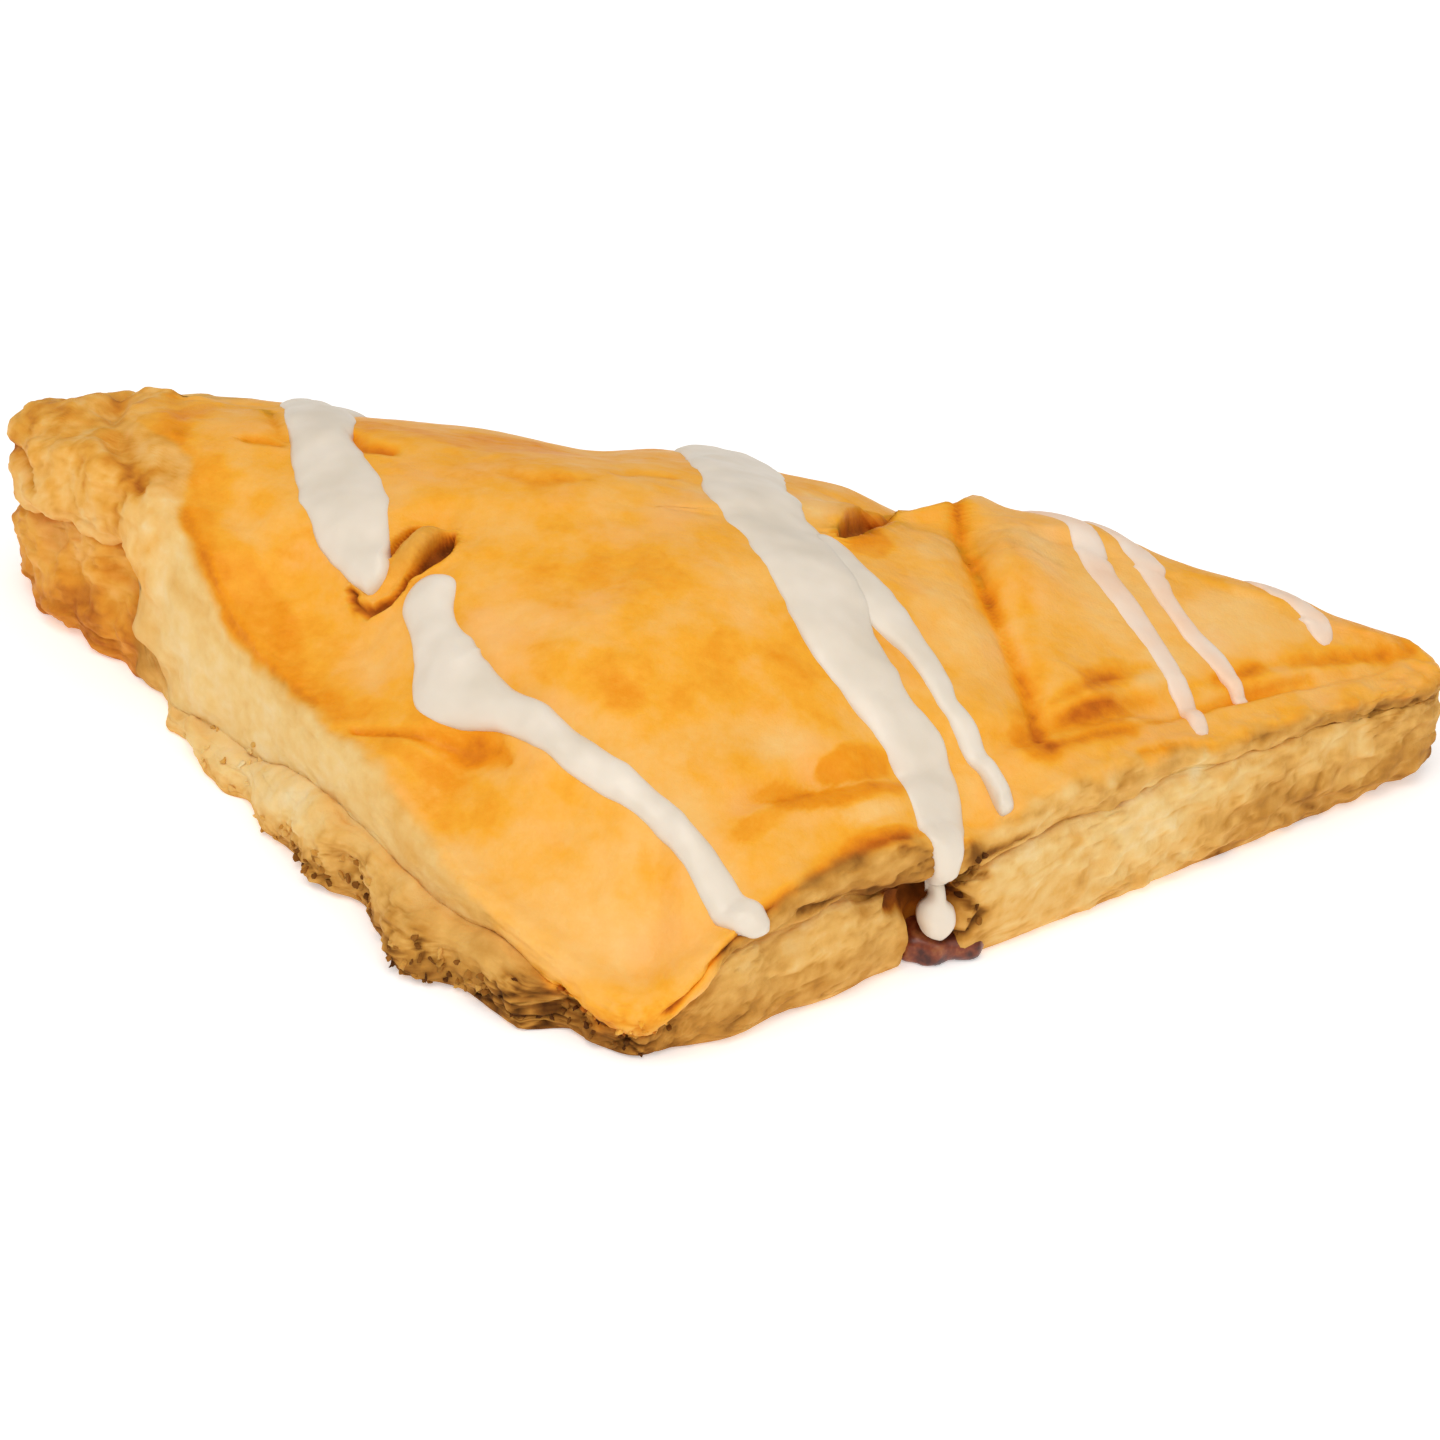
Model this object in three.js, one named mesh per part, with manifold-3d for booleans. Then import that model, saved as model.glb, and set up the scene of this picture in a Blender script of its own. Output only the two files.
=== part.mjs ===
// A jam turnover: one square of puff dough folded corner to corner over its filling and baked.
// Millimetres, +Z up. The origin is on the table under the middle of the pastry.
// The folded edge runs along X at the back (+Y); the right-angled corner points forwards (-Y).
import * as THREE from "three";
import { mergeVertices } from "three/addons/utils/BufferGeometryUtils.js";
import Module from "manifold-3d";

const wasm = await Module();
wasm.setup();

// ---------------------------------------------------------------- driving dimensions
const DOUGH_SIDE = 131.6; // one side of the square, corner to corner, as baked
const FOLD_HALF = DOUGH_SIDE / Math.SQRT2;
const FOLD_Y = 44.5;
const MIDDLE_X = 1.65;
const CORNERS = [
  { x: MIDDLE_X - FOLD_HALF, y: FOLD_Y, radius: 7 }, // left end of the fold
  { x: MIDDLE_X, y: FOLD_Y - FOLD_HALF, radius: 9 }, // front corner
  { x: MIDDLE_X + FOLD_HALF, y: FOLD_Y, radius: 7 }, // right end of the fold
];
const CROWN = { x: -7, y: 13, z: 34.5 }; // the middle of the dome
const CROWN_PLAN = new THREE.Vector2(CROWN.x, CROWN.y);
const ROUNDNESS = 2.4; // exponent of the rounded edges: 2 is a circle, more is squarer
const FOOT_ROUNDNESS = 3.2; // the same where the wall meets the table
const RIM_SPREAD = 10; // how far in from the rim its own ups and downs fade out
const FIT_GAP = 0.3; // clearance between the crust and its filling
const CENTRING = [0.62, -0.23, 0]; // moves the finished pieces so that the origin is in the middle

const STATIONS = 108; // divisions round the edge
const CORNER_CROWDING = 0.4; // 0 spaces them evenly
const WALL_STEPS = 6; // divisions up each of the two sheets
const EDGE_RINGS = [1.6, 3.4, 5.2, 7, 9]; // distances of the rings just inside the rim
const TOP_RINGS = 10; // divisions from there to the crown
const DRIZZLE_STEP = 2.6; // spacing of sections along a strip of icing
const DRIZZLE_SIDES = 5; // faces across the top of a strip
const FEWEST_SECTIONS = 8; // of a short strip
const END_SHARE = 0.35; // of a step, that the first section lies inside the rounded end
const SUNK = 0.6; // how far the edge of a strip lies under the skin
const KEEL = 3.2; // how far its hidden underside does
const ABOVE_ALL = 40; // a height above everything
const TABLE = 200; // size of the block that cuts the jam off level
const LUMP_SIDES = 16; // divisions round a lump of jam
const SLIT_STEPS = 8; // divisions along a slit
const JAM_STATIONS = 36; // divisions round the jam
const JAM_STEPS = 10; // divisions up the jam and along its run
const RUN_SIDES = 14; // divisions round the run
const PLACE_TOLERANCE = 1e-6; // of a place found on the edge
const SKIN_STEPS = 50; // steps that feel their way down the wall
const PROBE = 0.4; // distance of the points that give the skin's slope

// Tables along the edge: [place, value]. A place is 0 at the left corner, 1 at the front corner,
// 2 at the right corner and 3 back at the left; the fold is from 2 to 3.
const LOWER_OUT = [
  [0, 3.2], [0.04, 3.1], [0.1, 2.7], [0.16, 4], [0.2, 2.4], [0.23, 0.6], [0.28, 1.8], [0.33, 3.4],
  [0.43, 4.8], [0.47, 5], [0.54, 6.7], [0.63, 7.7], [0.665, 6], [0.78, 9.1], [0.83, 6.1], [0.9, 5.2],
  [0.925, 0.2], [1, -0.9], [1.03, -2.2], [1.1, -0.1], [1.16, -1], [1.21, -0.3], [1.29, -1.4], [1.37, 1],
  [1.52, 0.8], [1.65, 0.2], [1.9, -0.6], [1.96, -0.1], [2.1, -0.8], [2.3, 0], [2.9, 0], [2.96, 0.6],
];
// How far the flat underside lies inside the wall.
const FOOT_INSET = [
  [0, 5.4], [0.03, 6.8], [0.06, 6], [0.1, 4.2], [0.16, 2.8], [1.78, 2.6], [1.86, 3.6], [1.92, 5.8],
  [1.98, 7.4], [2.05, 5.8], [2.2, 2.6], [2.9, 3.2],
];
const UPPER_OUT = [
  [0, 3.4], [0.04, 4.6], [0.1, 4], [0.2, 2.8], [0.3, 2.6], [0.43, 2.6], [0.54, 3.6], [0.65, 4.4],
  [0.8, 4.2], [0.88, 2.6], [0.94, 1], [1, 0.6], [1.06, -0.2], [1.2, -0.8], [1.3, -0.4],
  [1.4, 0.2], [1.6, -0.2], [1.9, -0.7], [2.1, -0.8], [2.3, 0], [2.88, 0], [2.95, 0.2],
];
const SEAM_Z = [
  [0, 12.5], [0.2, 13], [0.225, 12], [0.25, 5.4], [0.28, 3], [0.32, 2.6], [0.38, 4], [0.45, 4.6], [0.55, 8.4],
  [0.63, 9.2], [0.77, 7.5], [0.85, 8], [0.92, 5.6], [1, 3], [1.03, 5], [1.06, 8], [1.09, 11.5],
  [1.17, 10.9], [1.2, 12.2], [1.3, 10.3], [1.41, 12], [1.47, 13.4], [1.53, 12.8], [1.6, 13.6],
  [1.75, 13], [1.9, 12], [2, 10.5], [2.1, 9.5], [2.5, 11], [2.9, 11.5],
];
const RIM_Z = [
  [0, 24.6], [0.1, 26], [0.2, 26.4], [0.3, 25], [0.35, 24], [0.4, 20.5], [0.47, 18], [0.53, 17],
  [0.65, 17.4], [0.74, 14.2], [0.82, 12.8], [0.89, 10.8], [0.95, 9.2], [1, 9], [1.06, 12.4],
  [1.12, 15.6], [1.17, 17.6], [1.27, 18], [1.36, 15.4], [1.42, 17.6], [1.47, 18.6], [1.6, 18],
  [1.66, 16.4], [1.8, 15.8], [1.93, 14.6], [2, 14.6], [2.05, 15.6], [2.085, 16.8], [2.12, 19],
  [2.21, 22.5], [2.27, 26], [2.32, 26.4], [2.35, 28], [2.385, 23.6], [2.44, 26.6], [2.56, 28.6],
  [2.63, 27], [2.7, 27.8], [2.85, 28], [2.93, 26.5], [2.97, 24.5],
];
// Height that the dome springs from: the rim without its local ups and downs.
const SPRING_Z = [
  [0, 25], [0.3, 24], [0.45, 18.5], [0.7, 15], [1, 10], [1.15, 15], [1.5, 17], [2, 14.6],
  [2.25, 24], [2.55, 27.5], [2.85, 27],
];
const CREASE = [
  [0, 2.2], [0.18, 2.4], [0.24, 1.6], [0.3, 0.4], [0.4, 0.4], [0.85, 0.5], [1, 0.9], [1.3, 2], [1.6, 1.4],
  [1.95, 1], [2.06, 0.2], [2.94, 0.2],
];
const SHOULDER = [
  [0, 5], [0.15, 5], [0.3, 3.2], [0.9, 3.2], [1, 5], [1.1, 3], [1.9, 3], [2, 4.2], [2.06, 4.8],
  [2.32, 9], [2.76, 9], [2.96, 5],
];
const DOME_POWER = [
  [0, 2], [0.4, 2.2], [1, 2.1], [1.5, 1.8], [1.85, 1.3], [2.15, 1.4], [2.4, 2.2], [2.8, 2.2],
];

// Pressed groove beside the right cut edge and valley beside the left one.
// Their places are [from, to, margin].
const PRESSED_GROOVE = { depth: 1.3, width: 1.5, places: [1.16, 1.94, 0.08] };
const GROOVE_INSIDE = [[1.1, 9], [1.25, 6.5], [1.4, 5.8], [1.7, 5.2], [1.85, 3.6], [2, 3.4]];
const VALLEY = { depth: 1.8, inside: 6, width: 3.6, places: [0.28, 0.7, 0.12] };

// Broad blisters of the top: height and waves per millimetre.
const BLISTERS = { height: 0.6, alongX: 0.14, alongY: 0.17 };

// Creases (negative) and ridges (positive) of the top, as open plan paths.
const FOLDS = [
  { path: [[27.5, 36], [28, 26], [30, 18], [34.5, 7], [38.5, -2.5]], height: -1.5, width: 2.8 },
  { path: [[32.5, 36], [33, 27], [34, 20]], height: 1.6, width: 4 },
  { path: [[-33, -14.5], [-27.5, -17.8], [-20, -19.5], [-16, -21.8]], height: -1.3, width: 2.4 },
  { path: [[-38.7, 1.9], [-35, -0.8], [-32, 1], [-27.5, 6.7]], height: -1, width: 2.6 },
  { path: [[-33.8, 6.5], [-31.5, 8.8], [-29.4, 9.6]], height: -1.4, width: 2 },
];
// Round swells (positive) and dents (negative) of the top.
const SWELLS = [
  { x: -31.4, y: 5.4, height: 1.6, width: 2.2 },
  { x: 40, y: -2, height: 1.2, width: 3 },
  { x: 21, y: 31, height: -3, width: 8 },
  { x: -72, y: 30, height: 1.2, width: 7 },
];

// Vent slits cut down to the filling: [x, y, half width].
const SLITS = [
  [[-38.6, 3.4, 0.4], [-35.2, 0.5, 0.6], [-31.8, 2.4, 0.8], [-28.8, 5.6, 1.5], [-27.5, 8.4, 0.4]],
  [[14, 17.6, 0.4], [15.4, 22, 1.3], [17, 28, 1.3], [18.6, 31, 0.5]],
];

// Icing poured across the top: path rows are [x, y, half width] on the unrolled skin.
const DRIZZLES = [
  {
    thickness: 1.4,
    path: [
      [-56.5, 45, 2.2], [-52, 39, 3], [-48.3, 32, 4.2], [-46.5, 24, 3.8], [-42.9, 16, 4.6],
      [-39.2, 9, 3.8], [-36.1, 3.8, 1.8],
    ],
  },
  {
    thickness: 1.4,
    path: [
      [-30.6, 1.2, 2.4], [-28, -4.6, 2.1], [-25.7, -9.8, 3.2], [-24.4, -12.2, 3.4],
      [-18.6, -16.3, 2], [-10.6, -21.9, 1.7], [-3, -26.3, 1.7], [2.8, -30.2, 1.6], [7.2, -34.1, 1.9],
      [12, -39, 2],
    ],
  },
  {
    thickness: 1.5,
    path: [
      [-4, 47, 4.6], [-1.2, 39, 6.2], [1.6, 26, 5.4], [5.6, 16, 5.4], [11.4, 8.2, 6],
      [15.3, 0, 4.8], [18.4, -3.7, 4.2], [25.9, -10, 3.8], [30.1, -18, 2.8], [35, -21.9, 1.7],
      [37.8, -24.3, 2],
    ],
  },
  {
    thickness: 1,
    path: [
      [17.6, 8.4, 2.4], [20.8, 5.6, 2.5], [24, 2.6, 1.9], [28.2, -3, 1.5], [33.4, -8, 1.3],
      [36.6, -12.1, 1.1],
    ],
  },
  {
    thickness: 0.8,
    path: [
      [41, 45, 1.4], [40, 38, 2], [44.3, 28, 2], [49.7, 21.6, 1.8], [53.4, 16.4, 1.5], [56.8, 10.2, 1.3],
    ],
  },
  {
    thickness: 0.8,
    path: [[49, 45, 1.6], [47, 38, 2.3], [50.6, 30.4, 1.6], [56.8, 23.4, 1.6], [61, 18.6, 1.1]],
  },
  { thickness: 0.7, path: [[71, 40.5, 1], [68.9, 37, 1.6], [67.4, 34, 1.1]] },
];

// Jam: a flat cushion inside, a run out through the side seam and a drop on the table.
const JAM = { reach: 0.68, z: 15, half: 6.6, power: 2.5 };
const LEAK = {
  run: [[16, -4, 14], [21, -9, 11], [25, -13.5, 8], [28, -16.6, 5.6]],
  radius: [4.5, 3.2],
  flatness: 1.3,
  lumps: [
    { x: 28.6, y: -16.8, z: 4.4, along: 2.9, across: 2.3, up: 4 },
    { x: 28.9, y: -17.7, z: 1.3, along: 2.7, across: 2.1, up: 2.2 },
    { x: 32.6, y: -16, z: 1.2, along: 3.6, across: 2, up: 2.1 },
  ],
  mouth: { x: 28.6, y: -18.5, z: 5.4, along: 5.4, across: 3.6, up: 5.7 },
};

// ---------------------------------------------------------------- small helpers
const wrap = (u) => ((u % 3) + 3) % 3;
const mix = (a, b, t) => a + (b - a) * t;
const bell = (d, width) => Math.exp(-((d / width) ** 2));
const signedPower = (v, p) => Math.sign(v) * Math.abs(v) ** p;
const range = (count, make) => Array.from({ length: count }, (_, i) => make(i));

/** Value of a closed table at place u, on a smooth curve through its rows. */
function along(table, u) {
  const at = wrap(u);
  const count = table.length;
  let i = count - 1;
  for (let k = 0; k < count; k++) if (table[k][0] <= at) i = k;
  const row = (k) => [
    table[((k % count) + count) % count][0] + 3 * Math.floor(k / count),
    table[((k % count) + count) % count][1],
  ];
  const [before, left, right, after] = [row(i - 1), row(i), row(i + 1), row(i + 2)];
  const span = right[0] - left[0];
  const t = (at - left[0]) / span;
  const slope = (a, b, c) => {
    const s0 = (b[1] - a[1]) / (b[0] - a[0]);
    const s1 = (c[1] - b[1]) / (c[0] - b[0]);
    return s0 * s1 <= 0 ? 0 : (2 * s0 * s1) / (s0 + s1);
  };
  const m0 = slope(before, left, right) * span;
  const m1 = slope(left, right, after) * span;
  const t2 = t * t;
  const t3 = t2 * t;
  return (
    (2 * t3 - 3 * t2 + 1) * left[1] + (t3 - 2 * t2 + t) * m0 +
    (3 * t2 - 2 * t3) * right[1] + (t3 - t2) * m1
  );
}

// ---------------------------------------------------------------- plan outline
const corners = CORNERS.map((corner, k) => {
  const before = CORNERS[(k + 2) % 3];
  const after = CORNERS[(k + 1) % 3];
  const at = new THREE.Vector2(corner.x, corner.y);
  const toBefore = new THREE.Vector2(before.x, before.y).sub(at).normalize();
  const toAfter = new THREE.Vector2(after.x, after.y).sub(at).normalize();
  const half = Math.acos(toBefore.dot(toAfter)) / 2;
  const inward = toBefore.clone().add(toAfter).normalize();
  const reach = corner.radius / Math.tan(half);
  return {
    radius: corner.radius,
    centre: at.clone().addScaledVector(inward, corner.radius / Math.sin(half)),
    enter: at.clone().addScaledVector(toBefore, reach),
    leave: at.clone().addScaledVector(toAfter, reach),
    halfTurn: Math.PI / 2 - half,
    heading: Math.atan2(-inward.y, -inward.x),
  };
});

/** Point and outward normal of the rounded triangle at place u. */
function outline(u) {
  const place = wrap(u);
  const k = Math.floor(place);
  const from = corners[k];
  const to = corners[(k + 1) % 3];
  const first = from.halfTurn * from.radius;
  const straight = from.leave.distanceTo(to.enter);
  const s = (place - k) * (first + straight + to.halfTurn * to.radius);
  const onArc = (corner, angle) => {
    const normal = new THREE.Vector2(Math.cos(angle), Math.sin(angle));
    return { point: corner.centre.clone().addScaledVector(normal, corner.radius), normal };
  };
  if (s < first) return onArc(from, from.heading + s / from.radius);
  if (s < first + straight) {
    const direction = to.enter.clone().sub(from.leave).normalize();
    return {
      point: from.leave.clone().addScaledVector(direction, s - first),
      normal: new THREE.Vector2(direction.y, -direction.x),
    };
  }
  return onArc(to, to.heading - to.halfTurn + (s - first - straight) / to.radius);
}

// ---------------------------------------------------------------- crust
/** The rim: where the side walls end and the top begins. */
function rimPoint(u) {
  const { point, normal } = outline(u);
  return point.addScaledVector(normal, along(UPPER_OUT, u) - along(SHOULDER, u));
}

/** Side wall at place u: t from 0 at the table through 0.5 at the seam to 1 at the rim. */
function wallPoint(u, t) {
  const seam = along(SEAM_Z, u);
  const rim = along(RIM_Z, u);
  const lowOut = along(LOWER_OUT, u);
  const upOut = along(UPPER_OUT, u);
  const creaseOut = Math.min(lowOut, upOut) - along(CREASE, u);
  const low = t < 0.5;
  const phi = ((low ? 2 * t : 2 * t - 1) - 0.5) * Math.PI;
  const power = 2 / (low && phi < 0 ? FOOT_ROUNDNESS : ROUNDNESS);
  const c = signedPower(Math.cos(phi), power);
  const s = signedPower(Math.sin(phi), power);
  const out = low ? lowOut : upOut;
  let depth;
  if (low) depth = phi < 0 ? along(FOOT_INSET, u) : lowOut - creaseOut;
  else depth = phi < 0 ? upOut - creaseOut : along(SHOULDER, u);
  const base = low ? 0 : seam;
  const height = low ? seam : rim - seam;
  const { point, normal } = outline(u);
  point.addScaledVector(normal, out - depth * (1 - c));
  return new THREE.Vector3(point.x, point.y, base + (height * (1 + s)) / 2);
}

/** 1 between the places from and to, easing to 0 over the given margin outside them. */
function span(u, from, to, margin) {
  const middle = (from + to) / 2;
  const away = Math.abs(wrap(u - middle + 1.5) - 1.5) - (to - from) / 2;
  return 1 - THREE.MathUtils.smoothstep(away, 0, margin);
}

/** Distance of plan point x, y from the open path of [x, y] rows. */
function distanceTo(path, x, y) {
  let best = Infinity;
  for (let i = 0; i + 1 < path.length; i++) {
    const [ax, ay] = path[i];
    const [dx, dy] = [path[i + 1][0] - ax, path[i + 1][1] - ay];
    const t = THREE.MathUtils.clamp(((x - ax) * dx + (y - ay) * dy) / (dx * dx + dy * dy), 0, 1);
    best = Math.min(best, Math.hypot(x - ax - t * dx, y - ay - t * dy));
  }
  return best;
}

/** Relief that follows the edge: a pressed groove on the right, a valley on the left. */
function edgeRelief(u, inside) {
  const { depth, width, places } = PRESSED_GROOVE;
  const groove = -depth * bell(inside - along(GROOVE_INSIDE, u), width);
  const valley = -VALLEY.depth * bell(inside - VALLEY.inside, VALLEY.width);
  return groove * span(u, ...places) + valley * span(u, ...VALLEY.places);
}

/** Relief of the top at plan point x, y: blisters, creases, dents and lifted flaps. */
function relief(x, y) {
  const wave = Math.sin(BLISTERS.alongX * x + 0.6) * Math.cos(BLISTERS.alongY * y - 0.4);
  const folds = FOLDS.map((fold) => fold.height * bell(distanceTo(fold.path, x, y), fold.width));
  const swells = SWELLS.map((at) => at.height * bell(Math.hypot(x - at.x, y - at.y), at.width));
  return [...folds, ...swells].reduce((sum, z) => sum + z, BLISTERS.height * wave);
}

/** Top of the crust: w from 0 at the rim to 1 at the crown. */
function topPoint(u, w) {
  const rim = rimPoint(u);
  const x = mix(rim.x, CROWN.x, w);
  const y = mix(rim.y, CROWN.y, w);
  const inside = w * rim.distanceTo(CROWN_PLAN);
  const spring = along(SPRING_Z, u);
  const rise = 1 - (1 - w) ** along(DOME_POWER, u);
  const near = bell(inside, RIM_SPREAD);
  const local = (along(RIM_Z, u) - spring) * near + edgeRelief(u, inside);
  return new THREE.Vector3(x, y, mix(spring, CROWN.z, rise) + local + relief(x, y) * (1 - near));
}

/** Bearing of plan point x, y from the crown, from 0 at the left corner to a full turn. */
function bearing({ x, y }) {
  const start = rimPoint(0);
  const zero = Math.atan2(start.y - CROWN.y, start.x - CROWN.x);
  return THREE.MathUtils.euclideanModulo(Math.atan2(y - CROWN.y, x - CROWN.x) - zero, 2 * Math.PI);
}

/** Distance in plan from the crown to the rim at place u. */
const reachAt = (u) => rimPoint(u).distanceTo(CROWN_PLAN);

/** Point of the outer skin at unrolled plan point x, y: beyond the rim it runs down the wall. */
function skin(x, y) {
  const wanted = bearing({ x, y });
  let [low, high] = [0, 3];
  while (high - low > PLACE_TOLERANCE) {
    const middle = (low + high) / 2;
    if (bearing(rimPoint(middle)) < wanted) low = middle;
    else high = middle;
  }
  const reach = reachAt(low);
  let left = Math.hypot(x - CROWN.x, y - CROWN.y) - reach;
  if (left <= 0) return topPoint(low, -left / reach);
  let upper = wallPoint(low, 1);
  for (let i = SKIN_STEPS - 1; i > 0; i--) {
    const lower = wallPoint(low, i / SKIN_STEPS);
    const step = lower.distanceTo(upper);
    if (left <= step) return upper.lerp(lower, left / step);
    left -= step;
    upper = lower;
  }
  return upper;
}

/** Skin point lifted along its outward normal. */
function lifted(x, y, lift) {
  const alongX = skin(x + PROBE, y).sub(skin(x - PROBE, y));
  const alongY = skin(x, y + PROBE).sub(skin(x, y - PROBE));
  const normal = alongX.cross(alongY).normalize();
  return skin(x, y).addScaledVector(normal, lift);
}

// ---------------------------------------------------------------- meshes and solids
/** Closed mesh from stacked rings, each running anticlockwise seen from above. */
function loft(rings, bottom, top) {
  const count = rings[0].length;
  const vertices = [...rings.flat(), bottom, top];
  const low = rings.length * count;
  const index = [];
  for (let i = 0; i < count; i++) {
    const n = (i + 1) % count;
    for (let j = 0; j + 1 < rings.length; j++) {
      const [a, b] = [j * count + i, j * count + n];
      index.push(a, b, b + count, a, b + count, a + count);
    }
    index.push(low, n, i);
    index.push(low + 1, low - count + i, low - count + n);
  }
  const geometry = new THREE.BufferGeometry().setFromPoints(vertices);
  geometry.setIndex(index);
  return geometry;
}

function solidFrom(geometry) {
  const bare = geometry.clone();
  bare.deleteAttribute("normal");
  bare.deleteAttribute("uv");
  const merged = mergeVertices(bare, 1e-4);
  return new wasm.Manifold(
    new wasm.Mesh({
      numProp: 3,
      vertProperties: new Float32Array(merged.attributes.position.array),
      triVerts: new Uint32Array(merged.index.array),
    }),
  );
}

function geometryFrom(solid) {
  const mesh = solid.getMesh();
  const geometry = new THREE.BufferGeometry();
  geometry.setAttribute("position", new THREE.BufferAttribute(mesh.vertProperties, 3));
  geometry.setIndex(new THREE.BufferAttribute(mesh.triVerts, 1));
  geometry.computeVertexNormals();
  return geometry;
}

/** One ring of points round the edge, closer together at the three corners. */
function ring(make) {
  return range(STATIONS, (i) => {
    const u = (3 * i) / STATIONS;
    return make(u - (CORNER_CROWDING * Math.sin(2 * Math.PI * u)) / (2 * Math.PI));
  });
}

function crust() {
  const rings = [];
  for (let i = 0; i <= 2 * WALL_STEPS; i++) {
    rings.push(ring((u) => wallPoint(u, i / (2 * WALL_STEPS))));
  }
  for (const inside of EDGE_RINGS) rings.push(ring((u) => topPoint(u, inside / reachAt(u))));
  const last = EDGE_RINGS[EDGE_RINGS.length - 1];
  for (let i = 1; i < TOP_RINGS; i++) {
    rings.push(ring((u) => topPoint(u, mix(last / reachAt(u), 1, i / TOP_RINGS))));
  }
  const under = new THREE.Vector3(CROWN.x, CROWN.y, 0);
  return loft(rings, under, topPoint(0, 1));
}

/** Smooth curve through rows [x, y, size], sampled count + 1 times. */
function sampled(rows, count) {
  const points = rows.map((row) => new THREE.Vector3(...row));
  return new THREE.CatmullRomCurve3(points, false, "centripetal").getSpacedPoints(count);
}

/** Mean of a loop of points. */
const middleOf = (loop) =>
  loop.reduce((sum, point) => sum.add(point), new THREE.Vector3()).divideScalar(loop.length);

/** Length in plan of a path of [x, y, size] rows. */
function lengthOf(path) {
  let length = 0;
  for (let i = 1; i < path.length; i++) {
    length += Math.hypot(path[i][0] - path[i - 1][0], path[i][1] - path[i - 1][1]);
  }
  return length;
}

/** Direction of a sampled curve at its point i. */
const headingAt = (spine, i) =>
  spine[Math.min(i + 1, spine.length - 1)].clone().sub(spine[Math.max(i - 1, 0)]);

/** A strip of icing that lies on the skin, thick in the middle and thin at its edges. */
function drizzle({ path, thickness }) {
  const length = lengthOf(path);
  const count = Math.max(FEWEST_SECTIONS, Math.round(length / DRIZZLE_STEP));
  const spine = sampled(path, count);
  const loops = spine.map((here, i) => {
    const heading = headingAt(spine, i);
    const side = new THREE.Vector2(-heading.y, heading.x).normalize();
    const fromEnd = (length * (Math.min(i, count - i) + END_SHARE)) / count;
    const round = Math.sqrt(1 - Math.max(0, 1 - fromEnd / here.z) ** 2);
    const half = here.z * round;
    const point = (share, lift) =>
      lifted(here.x + side.x * half * share, here.y + side.y * half * share, lift);
    const across = range(DRIZZLE_SIDES + 1, (k) => {
      const share = 1 - (2 * k) / DRIZZLE_SIDES;
      return point(share, mix(-SUNK, thickness * round, (1 - share ** 4) ** 0.5));
    });
    return [...across, point(0, -KEEL)];
  });
  return loft(loops, middleOf(loops[0]), middleOf(loops[count]));
}

/** Upright blade along a path of [x, y, half width] rows, from depth z up past the crust. */
function blade(rows, z) {
  const spine = sampled(rows, SLIT_STEPS);
  const loops = spine.map((here, i) => {
    const heading = headingAt(spine, i);
    const side = new THREE.Vector3(-heading.y, heading.x, 0).normalize();
    const corner = (sign, height) =>
      new THREE.Vector3(here.x, here.y, height).addScaledVector(side, sign * here.z);
    return [corner(1, z), corner(1, ABOVE_ALL), corner(-1, ABOVE_ALL), corner(-1, z)];
  });
  return loft(loops, middleOf(loops[0]), middleOf(loops[SLIT_STEPS]));
}

/** Ellipsoid whose long radius lies along the right cut edge. */
function lump({ x, y, z, along: long, across, up }, grow) {
  const geometry = new THREE.SphereGeometry(1, LUMP_SIDES, LUMP_SIDES / 2 + 2);
  geometry.scale(long + grow, across + grow, up + grow);
  geometry.rotateZ(Math.PI / 4);
  geometry.translate(x, y, z);
  return solidFrom(geometry);
}

/** The cushion of jam between the two sheets, its edge a copy of the rim. */
function cushion(grow) {
  const half = JAM.half + grow;
  const rings = [];
  for (let i = 1; i < JAM_STEPS; i++) {
    const phi = (i / JAM_STEPS - 0.5) * Math.PI;
    const share = Math.cos(phi) ** (2 / JAM.power);
    const z = JAM.z + half * signedPower(Math.sin(phi), 2 / JAM.power);
    const edge = (k) => {
      const u = (3 * k) / JAM_STATIONS;
      const point = rimPoint(u).sub(CROWN_PLAN).multiplyScalar(share * (JAM.reach + grow / reachAt(u)));
      return new THREE.Vector3(CROWN.x + point.x, CROWN.y + point.y, z);
    };
    rings.push(range(JAM_STATIONS, edge));
  }
  const pole = (sign) => new THREE.Vector3(CROWN.x, CROWN.y, JAM.z + sign * half);
  return solidFrom(loft(rings, pole(-1), pole(1)));
}

/** The tongue of jam that runs from the cushion out through the side. */
function tongue(grow) {
  const spine = sampled(LEAK.run, JAM_STEPS);
  const loops = spine.map((here, i) => {
    const heading = headingAt(spine, i).normalize();
    const side = new THREE.Vector3(-heading.y, heading.x, 0).normalize();
    const up = heading.clone().cross(side);
    const radius = mix(...LEAK.radius, i / JAM_STEPS) + grow;
    return range(RUN_SIDES, (k) => {
      const angle = (2 * Math.PI * k) / RUN_SIDES;
      const wide = LEAK.flatness * radius * Math.cos(angle);
      return here.clone().addScaledVector(side, wide).addScaledVector(up, radius * Math.sin(angle));
    });
  });
  return solidFrom(loft(loops, spine[0], spine[JAM_STEPS]));
}

/** The jam as one solid, every face moved out by grow. */
function jam(grow) {
  const lumps = LEAK.lumps.map((at) => lump(at, grow));
  const solid = wasm.Manifold.union([cushion(grow), tongue(grow), ...lumps]);
  const table = new THREE.BoxGeometry(TABLE, TABLE, TABLE).translate(0, 0, -TABLE / 2 - grow);
  return solid.subtract(solidFrom(table));
}

/** The largest body of a solid, without the slivers that a cut leaves loose. */
const largest = (solid) => solid.decompose().sort((a, b) => b.volume() - a.volume())[0];

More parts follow.
